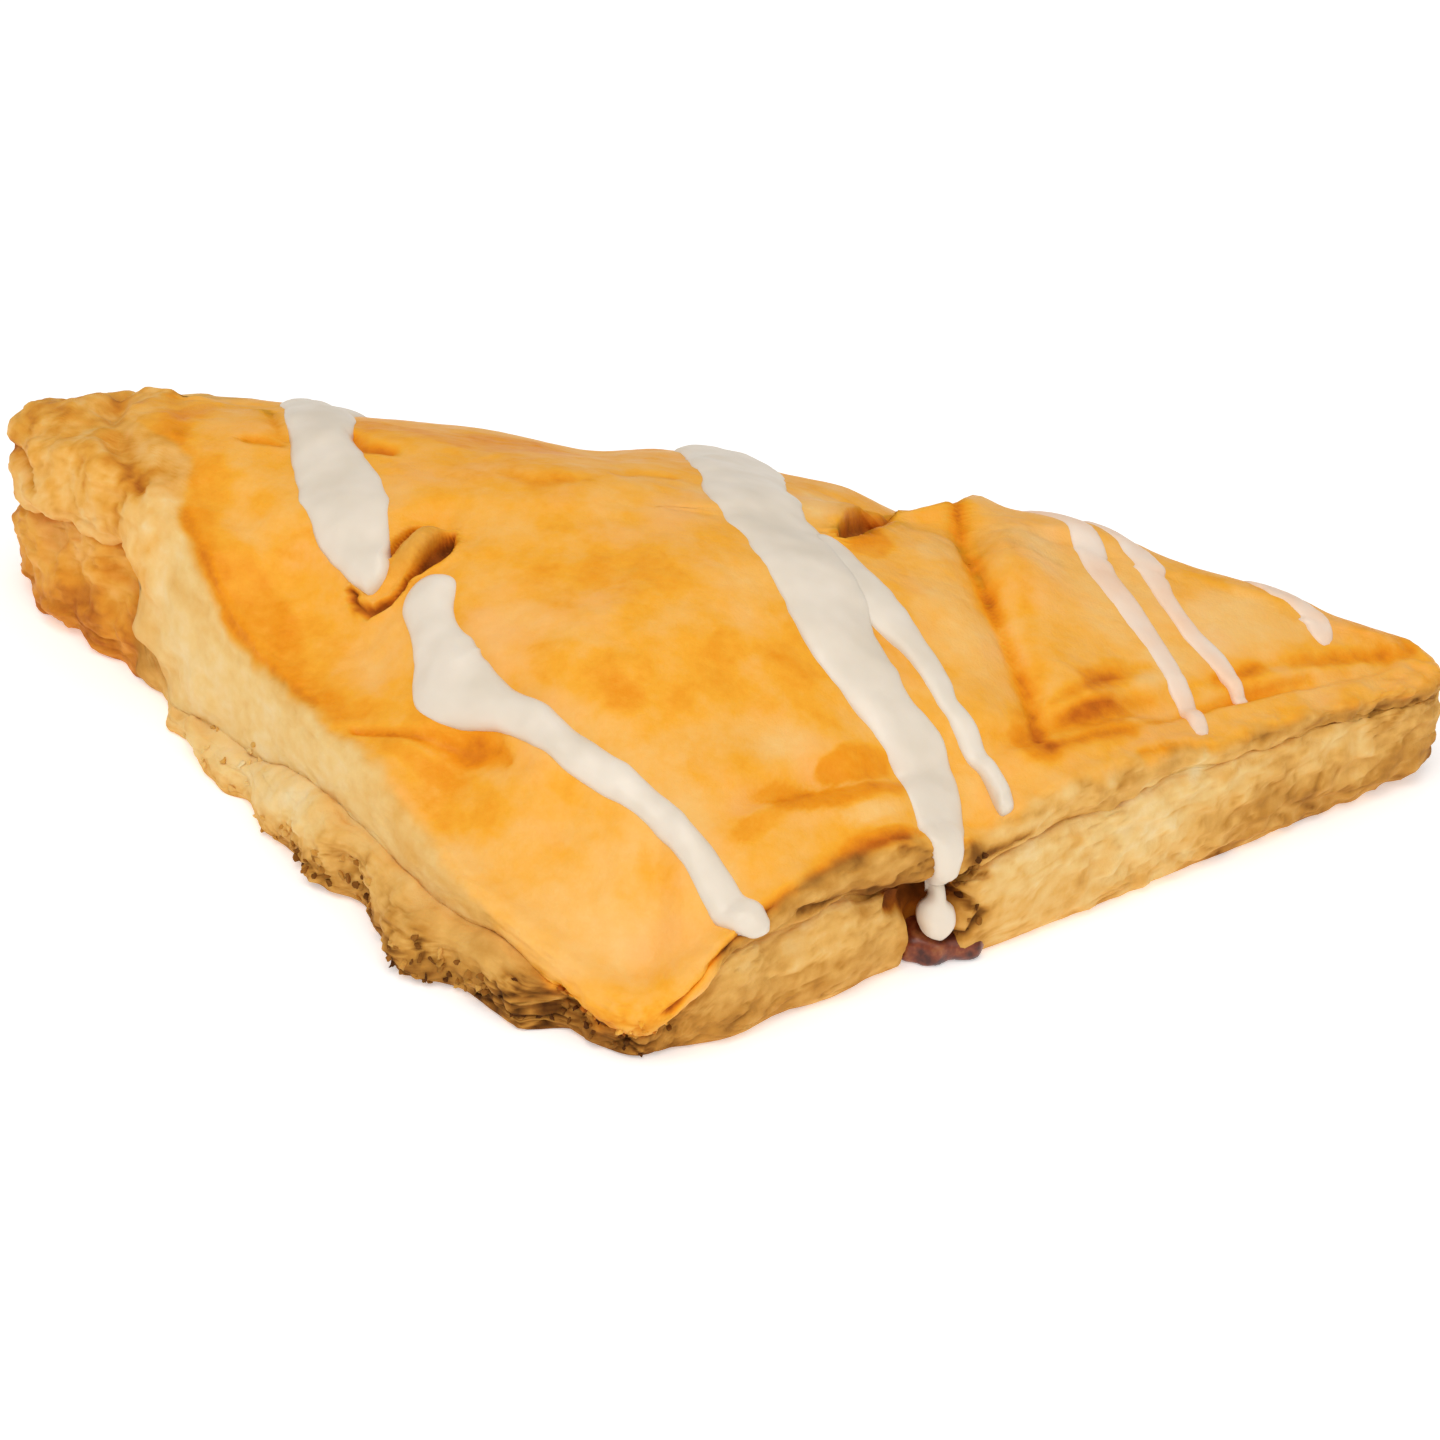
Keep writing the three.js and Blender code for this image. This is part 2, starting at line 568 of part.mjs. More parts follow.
function pastry() {
  let solid = solidFrom(crust()).subtract(lump(LEAK.mouth, 0));
  for (const strip of DRIZZLES) solid = solid.add(solidFrom(drizzle(strip)));
  for (const rows of SLITS) solid = solid.subtract(solidFrom(blade(rows, JAM.z)));
  return largest(solid.subtract(jam(FIT_GAP)));
}

const object = new THREE.Group();

function addPiece(name, solid, color, roughness) {
  const material = new THREE.MeshStandardMaterial({ color, roughness, metalness: 0 });
  const mesh = new THREE.Mesh(geometryFrom(solid.translate(CENTRING)), material);
  mesh.name = name;
  object.add(mesh);
}

addPiece("pastry", pastry(), 0xe9a548, 0.6);
addPiece("filling", jam(0), 0x7c2c22, 0.35);

export default object;
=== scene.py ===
"""A jam turnover: puff dough folded corner to corner over jam, baked, iced, and leaking at one side.

Shapes are worked out in millimetres, in the same frame as the solids, and turned into metres when each mesh
is made. The form is that of the solids, but the tables of the edge run closer to its ragged line at both
ends of the fold, at the foot and at the seam.
"""
import itertools
import math

import bpy
import numpy as np
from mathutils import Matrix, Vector


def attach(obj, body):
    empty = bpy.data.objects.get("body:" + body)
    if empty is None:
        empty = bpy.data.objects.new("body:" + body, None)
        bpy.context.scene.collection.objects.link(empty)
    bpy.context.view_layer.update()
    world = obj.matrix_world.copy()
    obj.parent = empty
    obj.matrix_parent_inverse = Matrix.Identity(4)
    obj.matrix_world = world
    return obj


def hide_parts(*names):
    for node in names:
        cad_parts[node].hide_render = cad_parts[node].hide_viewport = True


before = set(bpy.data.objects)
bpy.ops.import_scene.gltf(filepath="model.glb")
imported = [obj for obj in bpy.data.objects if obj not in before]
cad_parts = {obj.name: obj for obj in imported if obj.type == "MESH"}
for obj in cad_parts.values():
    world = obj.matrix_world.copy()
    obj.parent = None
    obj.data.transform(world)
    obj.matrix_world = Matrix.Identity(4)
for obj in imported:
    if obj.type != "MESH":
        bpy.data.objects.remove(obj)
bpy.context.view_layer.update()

MM = 0.001

# ---------------------------------------------------------------- driving dimensions, as in the solids
DOUGH_SIDE = 131.6
FOLD_HALF = DOUGH_SIDE / math.sqrt(2)
FOLD_Y = 44.5
MIDDLE_X = 1.65
CORNERS = np.array([
    [MIDDLE_X - FOLD_HALF, FOLD_Y],
    [MIDDLE_X, FOLD_Y - FOLD_HALF],
    [MIDDLE_X + FOLD_HALF, FOLD_Y],
])
CORNER_RADII = [7, 9, 7]
CROWN = np.array([-7, 13, 34.5])
ROUNDNESS = 2.4
FOOT_ROUNDNESS = 3.2
RIM_SPREAD = 10
CENTRING = np.array([0.62, -0.23, 0])

# Tables along the edge, {place: value}. A place is 0 at the left corner, 1 at the front corner,
# 2 at the right corner and 3 back at the left; the fold is from 2 to 3.
LOWER_OUT = {
    0: 4.6, 0.04: 3.6, 0.1: 3, 0.16: 3.2, 0.2: 0.6, 0.23: 0, 0.28: 0.9, 0.33: 3.6, 0.38: 5.2, 0.43: 5.8,
    0.47: 4.8, 0.54: 6.6, 0.6: 6.9, 0.63: 7.3, 0.665: 5.8, 0.78: 9.1, 0.83: 6.1, 0.9: 5.2, 0.925: 0.2, 1: -0.9,
    1.03: -2.2, 1.1: -0.1, 1.16: -1, 1.21: -0.3, 1.29: -1.4, 1.37: 1, 1.52: 0.8, 1.65: 0.2, 1.9: -0.6,
    1.96: -0.1, 2.1: -0.8, 2.3: 0, 2.9: 0, 2.96: 0.6,
}
FOOT_INSET = {
    0: 4, 0.03: 7.6, 0.06: 7.4, 0.08: 9.2, 0.1: 5.4, 0.16: 3, 0.22: 2.8, 1.78: 2.6, 1.86: 4, 1.9: 6.8,
    1.95: 9.4, 1.98: 9.4, 2.05: 6, 2.2: 2.6, 2.9: 3.2,
}
UPPER_OUT = {
    0: 3.4, 0.04: 4.6, 0.1: 4, 0.2: 2.8, 0.3: 2.6, 0.43: 2.6, 0.54: 3.6, 0.65: 4.4, 0.8: 4.2, 0.88: 2.6,
    0.94: 1, 1: 0.6, 1.06: -0.2, 1.2: -0.8, 1.3: -0.4, 1.4: 0.2, 1.6: -0.2, 1.9: -0.7, 2.1: -0.8, 2.3: 0,
    2.82: 0, 2.88: 0.6, 2.94: 1.7,
}
SEAM_Z = {
    0: 12.5, 0.08: 13.4, 0.14: 15, 0.2: 15.4, 0.228: 13, 0.25: 5.4, 0.28: 3, 0.32: 2.6, 0.38: 4, 0.45: 4.6,
    0.55: 8.4, 0.63: 9.2, 0.77: 7.5, 0.85: 8, 0.92: 5.6, 1: 3, 1.03: 5, 1.06: 8, 1.09: 11.5, 1.17: 10.9,
    1.2: 12.2, 1.3: 10.3, 1.41: 12, 1.47: 13.4, 1.53: 12.8, 1.6: 13.6, 1.75: 13, 1.9: 12, 2: 10.5, 2.1: 9.5,
    2.5: 11, 2.9: 11.5,
}
RIM_Z = {
    0: 24.6, 0.1: 26, 0.2: 26.4, 0.3: 25, 0.35: 24, 0.4: 20.5, 0.47: 18, 0.53: 17, 0.65: 17.4, 0.74: 14.2,
    0.82: 12.8, 0.89: 10.8, 0.95: 9.2, 1: 9, 1.06: 12.4, 1.12: 15.6, 1.17: 17.6, 1.27: 18, 1.36: 15.4,
    1.42: 17.6, 1.47: 18.6, 1.6: 18, 1.66: 16.4, 1.8: 15.8, 1.93: 14.6, 2: 14.6, 2.05: 15.6, 2.085: 16.8,
    2.12: 19, 2.21: 22.5, 2.27: 26, 2.32: 26.4, 2.35: 28, 2.385: 23.6, 2.44: 26.6, 2.56: 28.6, 2.63: 27,
    2.7: 27.8, 2.85: 28, 2.93: 26.5, 2.97: 24.5,
}
SPRING_Z = {
    0: 25, 0.3: 24, 0.45: 18.5, 0.7: 15, 1: 10, 1.15: 15, 1.5: 17, 2: 14.6, 2.25: 24, 2.55: 27.5, 2.85: 27,
}
CREASE = {
    0: 2.2, 0.18: 2.4, 0.24: 1.6, 0.3: 0.4, 0.4: 0.4, 0.85: 0.5, 1: 0.9, 1.3: 1.9, 1.6: 1, 1.9: 0.4, 2: 0.2,
    2.06: 0, 2.94: 0,
}
SHOULDER = {
    0: 5, 0.15: 5, 0.3: 3.2, 0.9: 3.2, 1: 5, 1.1: 3, 1.9: 3, 2: 4.2, 2.06: 4.8, 2.32: 9, 2.66: 9, 2.84: 6.6,
    2.94: 5.3,
}
DOME_POWER = {
    0: 2, 0.4: 2.2, 1: 2.1, 1.5: 1.8, 1.85: 1.3, 2.15: 1.4, 2.4: 2.2, 2.8: 2.2,
}
FOLD_LIFT = {  # the folded edge where it puffed up, or settled
    0: -0.6, 0.06: -0.5, 0.12: 0, 1.97: 0, 2.02: 0.5, 2.1: 0.9, 2.2: 0.8, 2.32: 0.9, 2.342: 0.8, 2.358: -0.7,
    2.38: -0.3, 2.4: 0.9, 2.48: 0.6, 2.51: 1, 2.56: 0.6, 2.6: 0.2, 2.65: 1, 2.7: 0.8, 2.74: 0.4, 2.77: -0.2,
    2.8: -0.5, 2.82: 0.1, 2.85: -0.2, 2.88: -0.7, 2.91: -0.7, 2.94: 0.4, 2.97: 0, 2.985: -0.4,
}
GROOVE_INSIDE = {1.1: 9, 1.25: 6.5, 1.4: 5.8, 1.7: 5.2, 1.85: 3.6, 2: 3.4}

# Creases (negative) and ridges (positive) of the top: open plan paths, height, width.
FOLDS = [
    ([[27.5, 36], [28, 26], [30, 18], [34.5, 7], [38.5, -2.5]], -1.5, 2.8),
    ([[32.5, 36], [33, 27], [34, 20]], 1.6, 4),
    ([[-33, -14.5], [-27.5, -17.8], [-20, -19.5], [-16, -21.8]], -1.3, 2.4),
    ([[-38.7, 1.9], [-35, -0.8], [-32, 1], [-27.5, 6.7]], -1, 2.6),
    ([[-33.8, 6.5], [-31.5, 8.8], [-29.4, 9.6]], -1.4, 2),
]
SWELLS = [(-31.4, 5.4, 1.6, 2.2), (40, -2, 1.2, 3), (21, 31, -3, 8), (-72, 30, 1.2, 7)]

# ---------------------------------------------------------------- mesh fineness
STATIONS = 640
# Where the stations crowd together: place, how much closer, width.
CROWDING = [
    (0, 0.8, 0.08), (1, 0.8, 0.08), (2, 0.5, 0.05), (0.5, 1.3, 0.11), (1.33, 0.6, 0.06), (2.24, 0.9, 0.05),
]
RIM_RINGS = 24  # rings in the strip just inside the rim
RIM_STRIP = 11.0  # width of that strip
TOP_RINGS = 72
RING_CROWDING = (0.52, 0.9, 0.13)  # share of the way to the crown, how much closer, width
LOWER_WALL_ROWS = 64
UPPER_WALL_ROWS = 40
SEAM_ROW = LOWER_WALL_ROWS - 1
RIM_ROW = SEAM_ROW + UPPER_WALL_ROWS - 1
CAP_RINGS = 10  # rings of each inner face, from the seam to the middle
UNDER_RINGS = 7  # rings of the underside
FOLD_PASSES = 60  # times that the folded edge is evened out
END_STEPS = np.linspace(-8, 8, 41)  # places across the two ends of the fold that are averaged
END_WIDTH = 4.2


# ---------------------------------------------------------------- small helpers
def mix(a, b, t):
    return a + (b - a) * t


def bell(d, width):
    return np.exp(-((d / width) ** 2))


def smoothstep(low, high, x):
    t = np.clip((x - low) / (high - low), 0, 1)
    return t * t * (3 - 2 * t)


def stacked(*values):
    return np.stack(np.broadcast_arrays(*values), axis=-1)


def unit(v):
    """A vector, or each of a row of vectors, brought to length 1."""
    return v / (np.linalg.norm(v) if v.ndim == 1 else np.linalg.norm(v, axis=1)[:, None])


def along(table, u):
    """Values of a closed table at places u, on a smooth curve through its rows."""
    rows = np.array(list(table.items()), float)
    x = np.concatenate([rows[-2:, 0] - 3, rows[:, 0], rows[:3, 0] + 3])
    y = np.concatenate([rows[-2:, 1], rows[:, 1], rows[:3, 1]])
    slope = np.diff(y) / np.diff(x)
    before, after = slope[:-1], slope[1:]
    same = before * after > 0
    tangent = np.zeros(len(x))
    tangent[1:-1][same] = 2 * before[same] * after[same] / (before[same] + after[same])
    at = np.mod(np.asarray(u, float), 3)
    i = np.searchsorted(x, at, side="right") - 1
    width = x[i + 1] - x[i]
    t = (at - x[i]) / width
    return (
        (2 * t**3 - 3 * t**2 + 1) * y[i] + (t**3 - 2 * t**2 + t) * width * tangent[i]
        + (3 * t**2 - 2 * t**3) * y[i + 1] + (t**3 - t**2) * width * tangent[i + 1]
    )


def past(u, place):
    """How far u lies past a place of the edge, the short way round."""
    return np.mod(u - place + 1.5, 3) - 1.5


def span(u, start, end, margin):
    """1 between two places, easing to 0 over the margin outside them."""
    away = np.abs(past(u, (start + end) / 2)) - (end - start) / 2
    return 1 - smoothstep(0, margin, away)


def path_field(path, x, y):
    """Distance from plan points to an open path, and the path's third value there."""
    rows = np.array([list(row) + [1.0] * (3 - len(row)) for row in path], float)
    best = np.full(np.shape(x), 1e9)
    size = np.zeros(np.shape(x))
    for (ax, ay, a_size), (bx, by, b_size) in zip(rows, rows[1:]):
        dx, dy = bx - ax, by - ay
        t = np.clip(((x - ax) * dx + (y - ay) * dy) / (dx * dx + dy * dy), 0, 1)
        d = np.hypot(x - ax - t * dx, y - ay - t * dy)
        near = d < best
        best = np.where(near, d, best)
        size = np.where(near, mix(a_size, b_size, t), size)
    return best, size


class Noise:
    """Smooth random field of about -0.7 to 0.7, the same each run."""

    def __init__(self, seed):
        rng = np.random.default_rng(seed)
        self.order = rng.permutation(256)
        self.grad = unit(rng.normal(size=(256, 3)))

    def __call__(self, points, size):
        p = np.asarray(points, float) / size
        cell = np.floor(p).astype(int)
        f = p - cell
        fade = f**3 * (f * (f * 6 - 15) + 10)
        total = np.zeros(p.shape[:-1])
        for corner in itertools.product((0, 1), repeat=3):
            key = 0
            for axis in range(3):
                key = self.order[(key + cell[..., axis] + corner[axis]) & 255]
            weight = np.prod(np.where(np.array(corner) == 1, fade, 1 - fade), axis=-1)
            total += weight * (self.grad[key] * (f - corner)).sum(-1)
        return total


blister_noise, crag_noise, leaf_noise, tint_noise = (Noise(seed) for seed in (11, 23, 37, 53))


def octaves(noise, points, *layers):
    """A noise at several sizes together: each layer is a size and an amount."""
    return sum(noise(points, size) * amount for size, amount in layers)


def stirred(points, amount, size):
    """Points moved about by chance."""
    return points + amount * stacked(*(crag_noise(points + shift, size) for shift in (0, 31, 67)))


def pebbles(points, size, seed):
    """Round crumbs packed together: the height of each (1 at its middle), and the gaps between them (1 deep).
    """
    rng = np.random.default_rng(seed)
    jitter = rng.random((16, 16, 16, 3))
    p = np.asarray(points, float) / size
    cell = np.floor(p).astype(int)
    first = np.full(p.shape[:-1], 9.0)
    second = first
    for step in itertools.product((-1, 0, 1), repeat=3):
        c = cell + np.array(step)
        spot = c + jitter[c[..., 0] & 15, c[..., 1] & 15, c[..., 2] & 15]
        d = np.linalg.norm(p - spot, axis=-1)
        second = np.minimum(second, np.maximum(first, d))
        first = np.minimum(first, d)
    return 1 - first**2, bell(second - first, 0.16)


# ---------------------------------------------------------------- plan outline
def corner_arcs():
    arcs = []
    for k in range(3):
        at = CORNERS[k]
        to_before, to_after = unit(CORNERS[k - 1] - at), unit(CORNERS[(k + 1) % 3] - at)
        half = math.acos(to_before @ to_after) / 2
        inward = unit(to_before + to_after)
        radius = CORNER_RADII[k]
        arcs.append({
            "radius": radius,
            "centre": at + inward * radius / math.sin(half),
            "enter": at + to_before * radius / math.tan(half),
            "leave": at + to_after * radius / math.tan(half),
            "half_turn": math.pi / 2 - half,
            "heading": math.atan2(-inward[1], -inward[0]),
        })
    return arcs


ARCS = corner_arcs()


def outline(u):
    """Points and outward normals of the rounded triangle at places u."""
    u = np.mod(np.asarray(u, float), 3)
    point = np.zeros(u.shape + (2,))
    normal = np.zeros(u.shape + (2,))
    for k in range(3):
        here = np.floor(u) == k
        start, end = ARCS[k], ARCS[(k + 1) % 3]
        first = start["half_turn"] * start["radius"]
        direction = end["enter"] - start["leave"]
        straight = np.linalg.norm(direction)
        direction = direction / straight
        s = (u[here] - k) * (first + straight + end["half_turn"] * end["radius"])
        on_first = s < first
        turn = end["heading"] - end["half_turn"] + (s - first - straight) / end["radius"]
        angle = np.where(on_first, start["heading"] + s / start["radius"], turn)
        n = stacked(np.cos(angle), np.sin(angle))
        first_arc = start["centre"] + n * start["radius"]
        p = np.where(on_first[:, None], first_arc, end["centre"] + n * end["radius"])
        middle = (s >= first) & (s < first + straight)
        n[middle] = [direction[1], -direction[0]]
        p[middle] = start["leave"] + direction * (s[middle] - first)[:, None]
        point[here] = p
        normal[here] = n
    return point, normal


# ---------------------------------------------------------------- the smooth form of the crust
def rim_point(u):
    point, normal = outline(u)
    return point + normal * (along(UPPER_OUT, u) - along(SHOULDER, u))[..., None]


def wall_point(u, t):
    """Side wall: t from 0 at the table through 0.5 at the seam to 1 at the rim."""
    seam, rim = along(SEAM_Z, u), along(RIM_Z, u)
    low_out, up_out = along(LOWER_OUT, u), along(UPPER_OUT, u)
    crease_out = np.minimum(low_out, up_out) - along(CREASE, u)
    low = t < 0.5
    phi = (np.where(low, 2 * t, 2 * t - 1) - 0.5) * math.pi
    foot = low & (phi < 0)
    power = np.where(foot, 2 / FOOT_ROUNDNESS, 2 / ROUNDNESS)
    c = np.abs(np.cos(phi)) ** power
    s = np.sign(phi) * np.abs(np.sin(phi)) ** power
    out = np.where(low, low_out, up_out)
    low_depth = np.where(foot, along(FOOT_INSET, u), low_out - crease_out)
    depth = np.where(low, low_depth, np.where(phi < 0, up_out - crease_out, along(SHOULDER, u)))
    base = np.where(low, 0, seam)
    height = np.where(low, seam, rim - seam)
    point, normal = outline(u)
    point = point + normal * (out - depth * (1 - c))[..., None]
    return stacked(point[..., 0], point[..., 1], base + height * (1 + s) / 2)


def edge_relief(u, inside):
    """A pressed groove beside the right cut edge, a valley beside the left one."""
    groove = -1.3 * bell(inside - along(GROOVE_INSIDE, u), 1.5)
    valley = -1.8 * bell(inside - 6, 3.6)
    return groove * span(u, 1.16, 1.94, 0.08) + valley * span(u, 0.28, 0.7, 0.12)


def relief(x, y):
    z = 0.6 * np.sin(0.14 * x + 0.6) * np.cos(0.17 * y - 0.4)
    for path, height, width in FOLDS:
        z += height * bell(path_field(path, x, y)[0], width)
    for cx, cy, height, width in SWELLS:
        z += height * bell(np.hypot(x - cx, y - cy), width)
    return z


def top_point(u, w):
    """Top of the crust: w from 0 at the rim to 1 at the crown."""
    rim = rim_point(u)
    x = mix(rim[..., 0], CROWN[0], w)
    y = mix(rim[..., 1], CROWN[1], w)
    inside = w * np.hypot(rim[..., 0] - CROWN[0], rim[..., 1] - CROWN[1])
    spring = along(SPRING_Z, u)
    rise = 1 - (1 - w) ** along(DOME_POWER, u)
    near = bell(inside, RIM_SPREAD)
    local = (along(RIM_Z, u) - spring) * near + edge_relief(u, inside)
    return stacked(x, y, mix(spring, CROWN[2], rise) + local + relief(x, y) * (1 - near))


# ---------------------------------------------------------------- places on the skin
def crowded_places():
    fine = np.linspace(0, 3, 6001)
    density = np.ones(len(fine))
    for place, more, width in CROWDING:
        density += more * bell(past(fine, place), width)
    total = np.concatenate([[0], np.cumsum((density[1:] + density[:-1]) / 2)])
    return np.interp(np.arange(STATIONS) / STATIONS * total[-1], total, fine)


def crowded_rings():
    """How far each ring of the top lies on the way from the rim's strip to the crown."""
    fine = np.linspace(0, 1, 2001)
    middle, more, width = RING_CROWDING
    total = np.cumsum(1 + more * bell(fine - middle, width))
    share = (total - total[0]) / (total[-1] - total[0])
    return np.interp(np.arange(1, TOP_RINGS) / TOP_RINGS, share, fine)


PLACES = crowded_places()
RIM = rim_point(PLACES)
REACH = np.hypot(*(RIM - CROWN[:2]).T)
BEARING = np.unwrap(np.arctan2(RIM[:, 1] - CROWN[1], RIM[:, 0] - CROWN[0]))
BEARINGS = np.append(BEARING, BEARING[0] + 2 * math.pi)
RUN = np.concatenate([[0], np.cumsum(np.linalg.norm(np.diff(outline(PLACES)[0], axis=0), axis=1))])


def bearing(x, y):
    """Bearing of plan points from the crown, counted on from that of the first station."""
    return BEARING[0] + np.mod(np.arctan2(y - CROWN[1], x - CROWN[0]) - BEARING[0], 2 * math.pi)


def dome_height(x, y):
    """Height of the smooth top above plan points."""
    u = np.interp(bearing(x, y), BEARINGS, np.append(PLACES, 3))
    reach = np.interp(u, np.append(PLACES, 3), np.append(REACH, REACH[0]))
    return top_point(u, np.clip(1 - np.hypot(x - CROWN[0], y - CROWN[1]) / reach, 0, 1))[..., 2]


class Skin:
    """The outer face of the crust as a grid: rows run from the table up to the crown."""

    def __init__(self):
        wall = [*np.linspace(0, 0.5, LOWER_WALL_ROWS), *np.linspace(0.5, 1, UPPER_WALL_ROWS)[1:]]
        points = [wall_point(PLACES, np.full(STATIONS, t)) for t in wall]
        down = np.linalg.norm(np.diff(np.array(points), axis=0), axis=2)[::-1].cumsum(axis=0)[::-1]
        inside = [-row for row in down] + [np.zeros(STATIONS)]
        for distance in np.linspace(0, RIM_STRIP, RIM_RINGS + 1)[1:]:
            points.append(top_point(PLACES, distance / REACH))
            inside.append(np.full(STATIONS, distance))
        for part in crowded_rings():
            share = mix(RIM_STRIP / REACH, 1, part)
            points.append(top_point(PLACES, share))
            inside.append(share * REACH)
        self.points = np.array(points)
        self.inside = np.array(inside)
        self.ease_ends()
        self.ease_fold()
        self.u = np.broadcast_to(PLACES, self.inside.shape)
        self.run = np.broadcast_to(RUN, self.inside.shape)
        # Unrolled plan: as the plan inside the rim, and the wall laid out flat beyond it.
        away = (RIM - CROWN[:2]) / REACH[:, None]
        self.plan = CROWN[:2] + away * (REACH - self.inside)[..., None]

    def ease_ends(self):
        """Smooths the top across the two lines from its crown to the ends of the fold."""
        top, inside = self.points[RIM_ROW + 1:], self.inside[RIM_ROW + 1:]
        for place in (0.0, 2.0):
            ray = unit(rim_point(np.array([place]))[0] - CROWN[:2])
            x, y = top[..., 0], top[..., 1]
            off = (y - CROWN[1]) * ray[0] - (x - CROWN[0]) * ray[1]
            ahead = (x - CROWN[0]) * ray[0] + (y - CROWN[1]) * ray[1]
            amount = bell(off, 8) * smoothstep(1, 6, inside) * smoothstep(3, 18, ahead)
            near = amount > 0.01
            heights = [dome_height(x[near] - ray[1] * step, y[near] + ray[0] * step) for step in END_STEPS]
            eased = np.average(heights, axis=0, weights=bell(END_STEPS, END_WIDTH))
            top[..., 2][near] = mix(top[..., 2][near], eased, amount[near])

    def ease_fold(self):
        """Rounds the long folded edge, where wall and top meet."""
        row = np.arange(len(self.points)) - RIM_ROW
        amount = bell(row, 20)[:, None] * (0.08 + 0.92 * span(PLACES, 2.06, 2.95, 0.05))
        for _ in range(FOLD_PASSES):
            shift = np.zeros(self.points.shape)
            shift[1:-1] = (self.points[:-2] + self.points[2:]) / 2 - self.points[1:-1]
            self.points = self.points + 0.5 * shift * amount[..., None]
        self.points[..., 2] += along(FOLD_LIFT, PLACES) * bell(row, 14)[:, None]

    def normals(self):
        p = self.points
        n = np.cross(np.roll(p, -1, axis=1) - np.roll(p, 1, axis=1), np.gradient(p, axis=0))
        return n / np.maximum(np.linalg.norm(n, axis=2, keepdims=True), 1e-9)

    def at(self, x, y, field):
        """Values of a grid field at unrolled plan points x, y."""
        column = np.interp(bearing(x, y), BEARINGS, np.arange(STATIONS + 1))
        c0 = np.floor(column).astype(int) % STATIONS
        c1 = (c0 + 1) % STATIONS
        part = (column - np.floor(column))[:, None]
        inside = mix(REACH[c0], REACH[c1], part[:, 0]) - np.hypot(x - CROWN[0], y - CROWN[1])
        all_rows = np.arange(len(self.inside))
        values = []
        for c in (c0, c1):
            rows = np.array([np.interp(d, self.inside[:, k], all_rows) for d, k in zip(inside, c)])
            r0 = np.clip(np.floor(rows).astype(int), 0, len(self.inside) - 2)
            values.append(mix(field[r0, c], field[r0 + 1, c], (rows - r0)[:, None]))
        return mix(values[0], values[1], part)


skin = Skin()
X, Y = skin.plan[..., 0], skin.plan[..., 1]
ROWS = np.arange(len(skin.points))[:, None]
BELOW_SEAM = ROWS <= SEAM_ROW

# ---------------------------------------------------------------- cuts, cracks and browned places
# Vent slits: rows are plan x, plan y and half width; with the depth of the cut and its browning, which is dark
# partly from baking and partly as painted shade inside the cut.
SLITS = [
    ([[-38.8, 3.6, 0.2], [-37.6, 1.8, 0.3], [-35.8, 0.4, 0.35], [-33.6, 0.5, 0.35],
      [-31.8, 2.2, 0.35]], 0.9, 0.82),
    ([[-31.8, 2.2, 0.35], [-30.4, 3.8, 0.8], [-29.2, 5.3, 1.2], [-28.6, 6.6, 0.9],
      [-28.2, 7.6, 0.3]], 2.1, 0.84),
    ([[-34.8, 5.2, 0.4], [-34.2, 6.8, 0.6], [-32.8, 8.2, 0.5], [-31.2, 8.9, 0.2]], 0.9, 0.74),
    ([[13.6, 17.4, 0.3], [14.6, 20.2, 1.1], [15.8, 24, 1.6], [17, 28, 1.5], [18.4, 31, 0.5]], 2.2, 0.78),
]
FLAP = (-31.9, 5.3, 2.9, 1.5, 45)  # plan x, y, radii and turn of the lifted bit beside the first slit
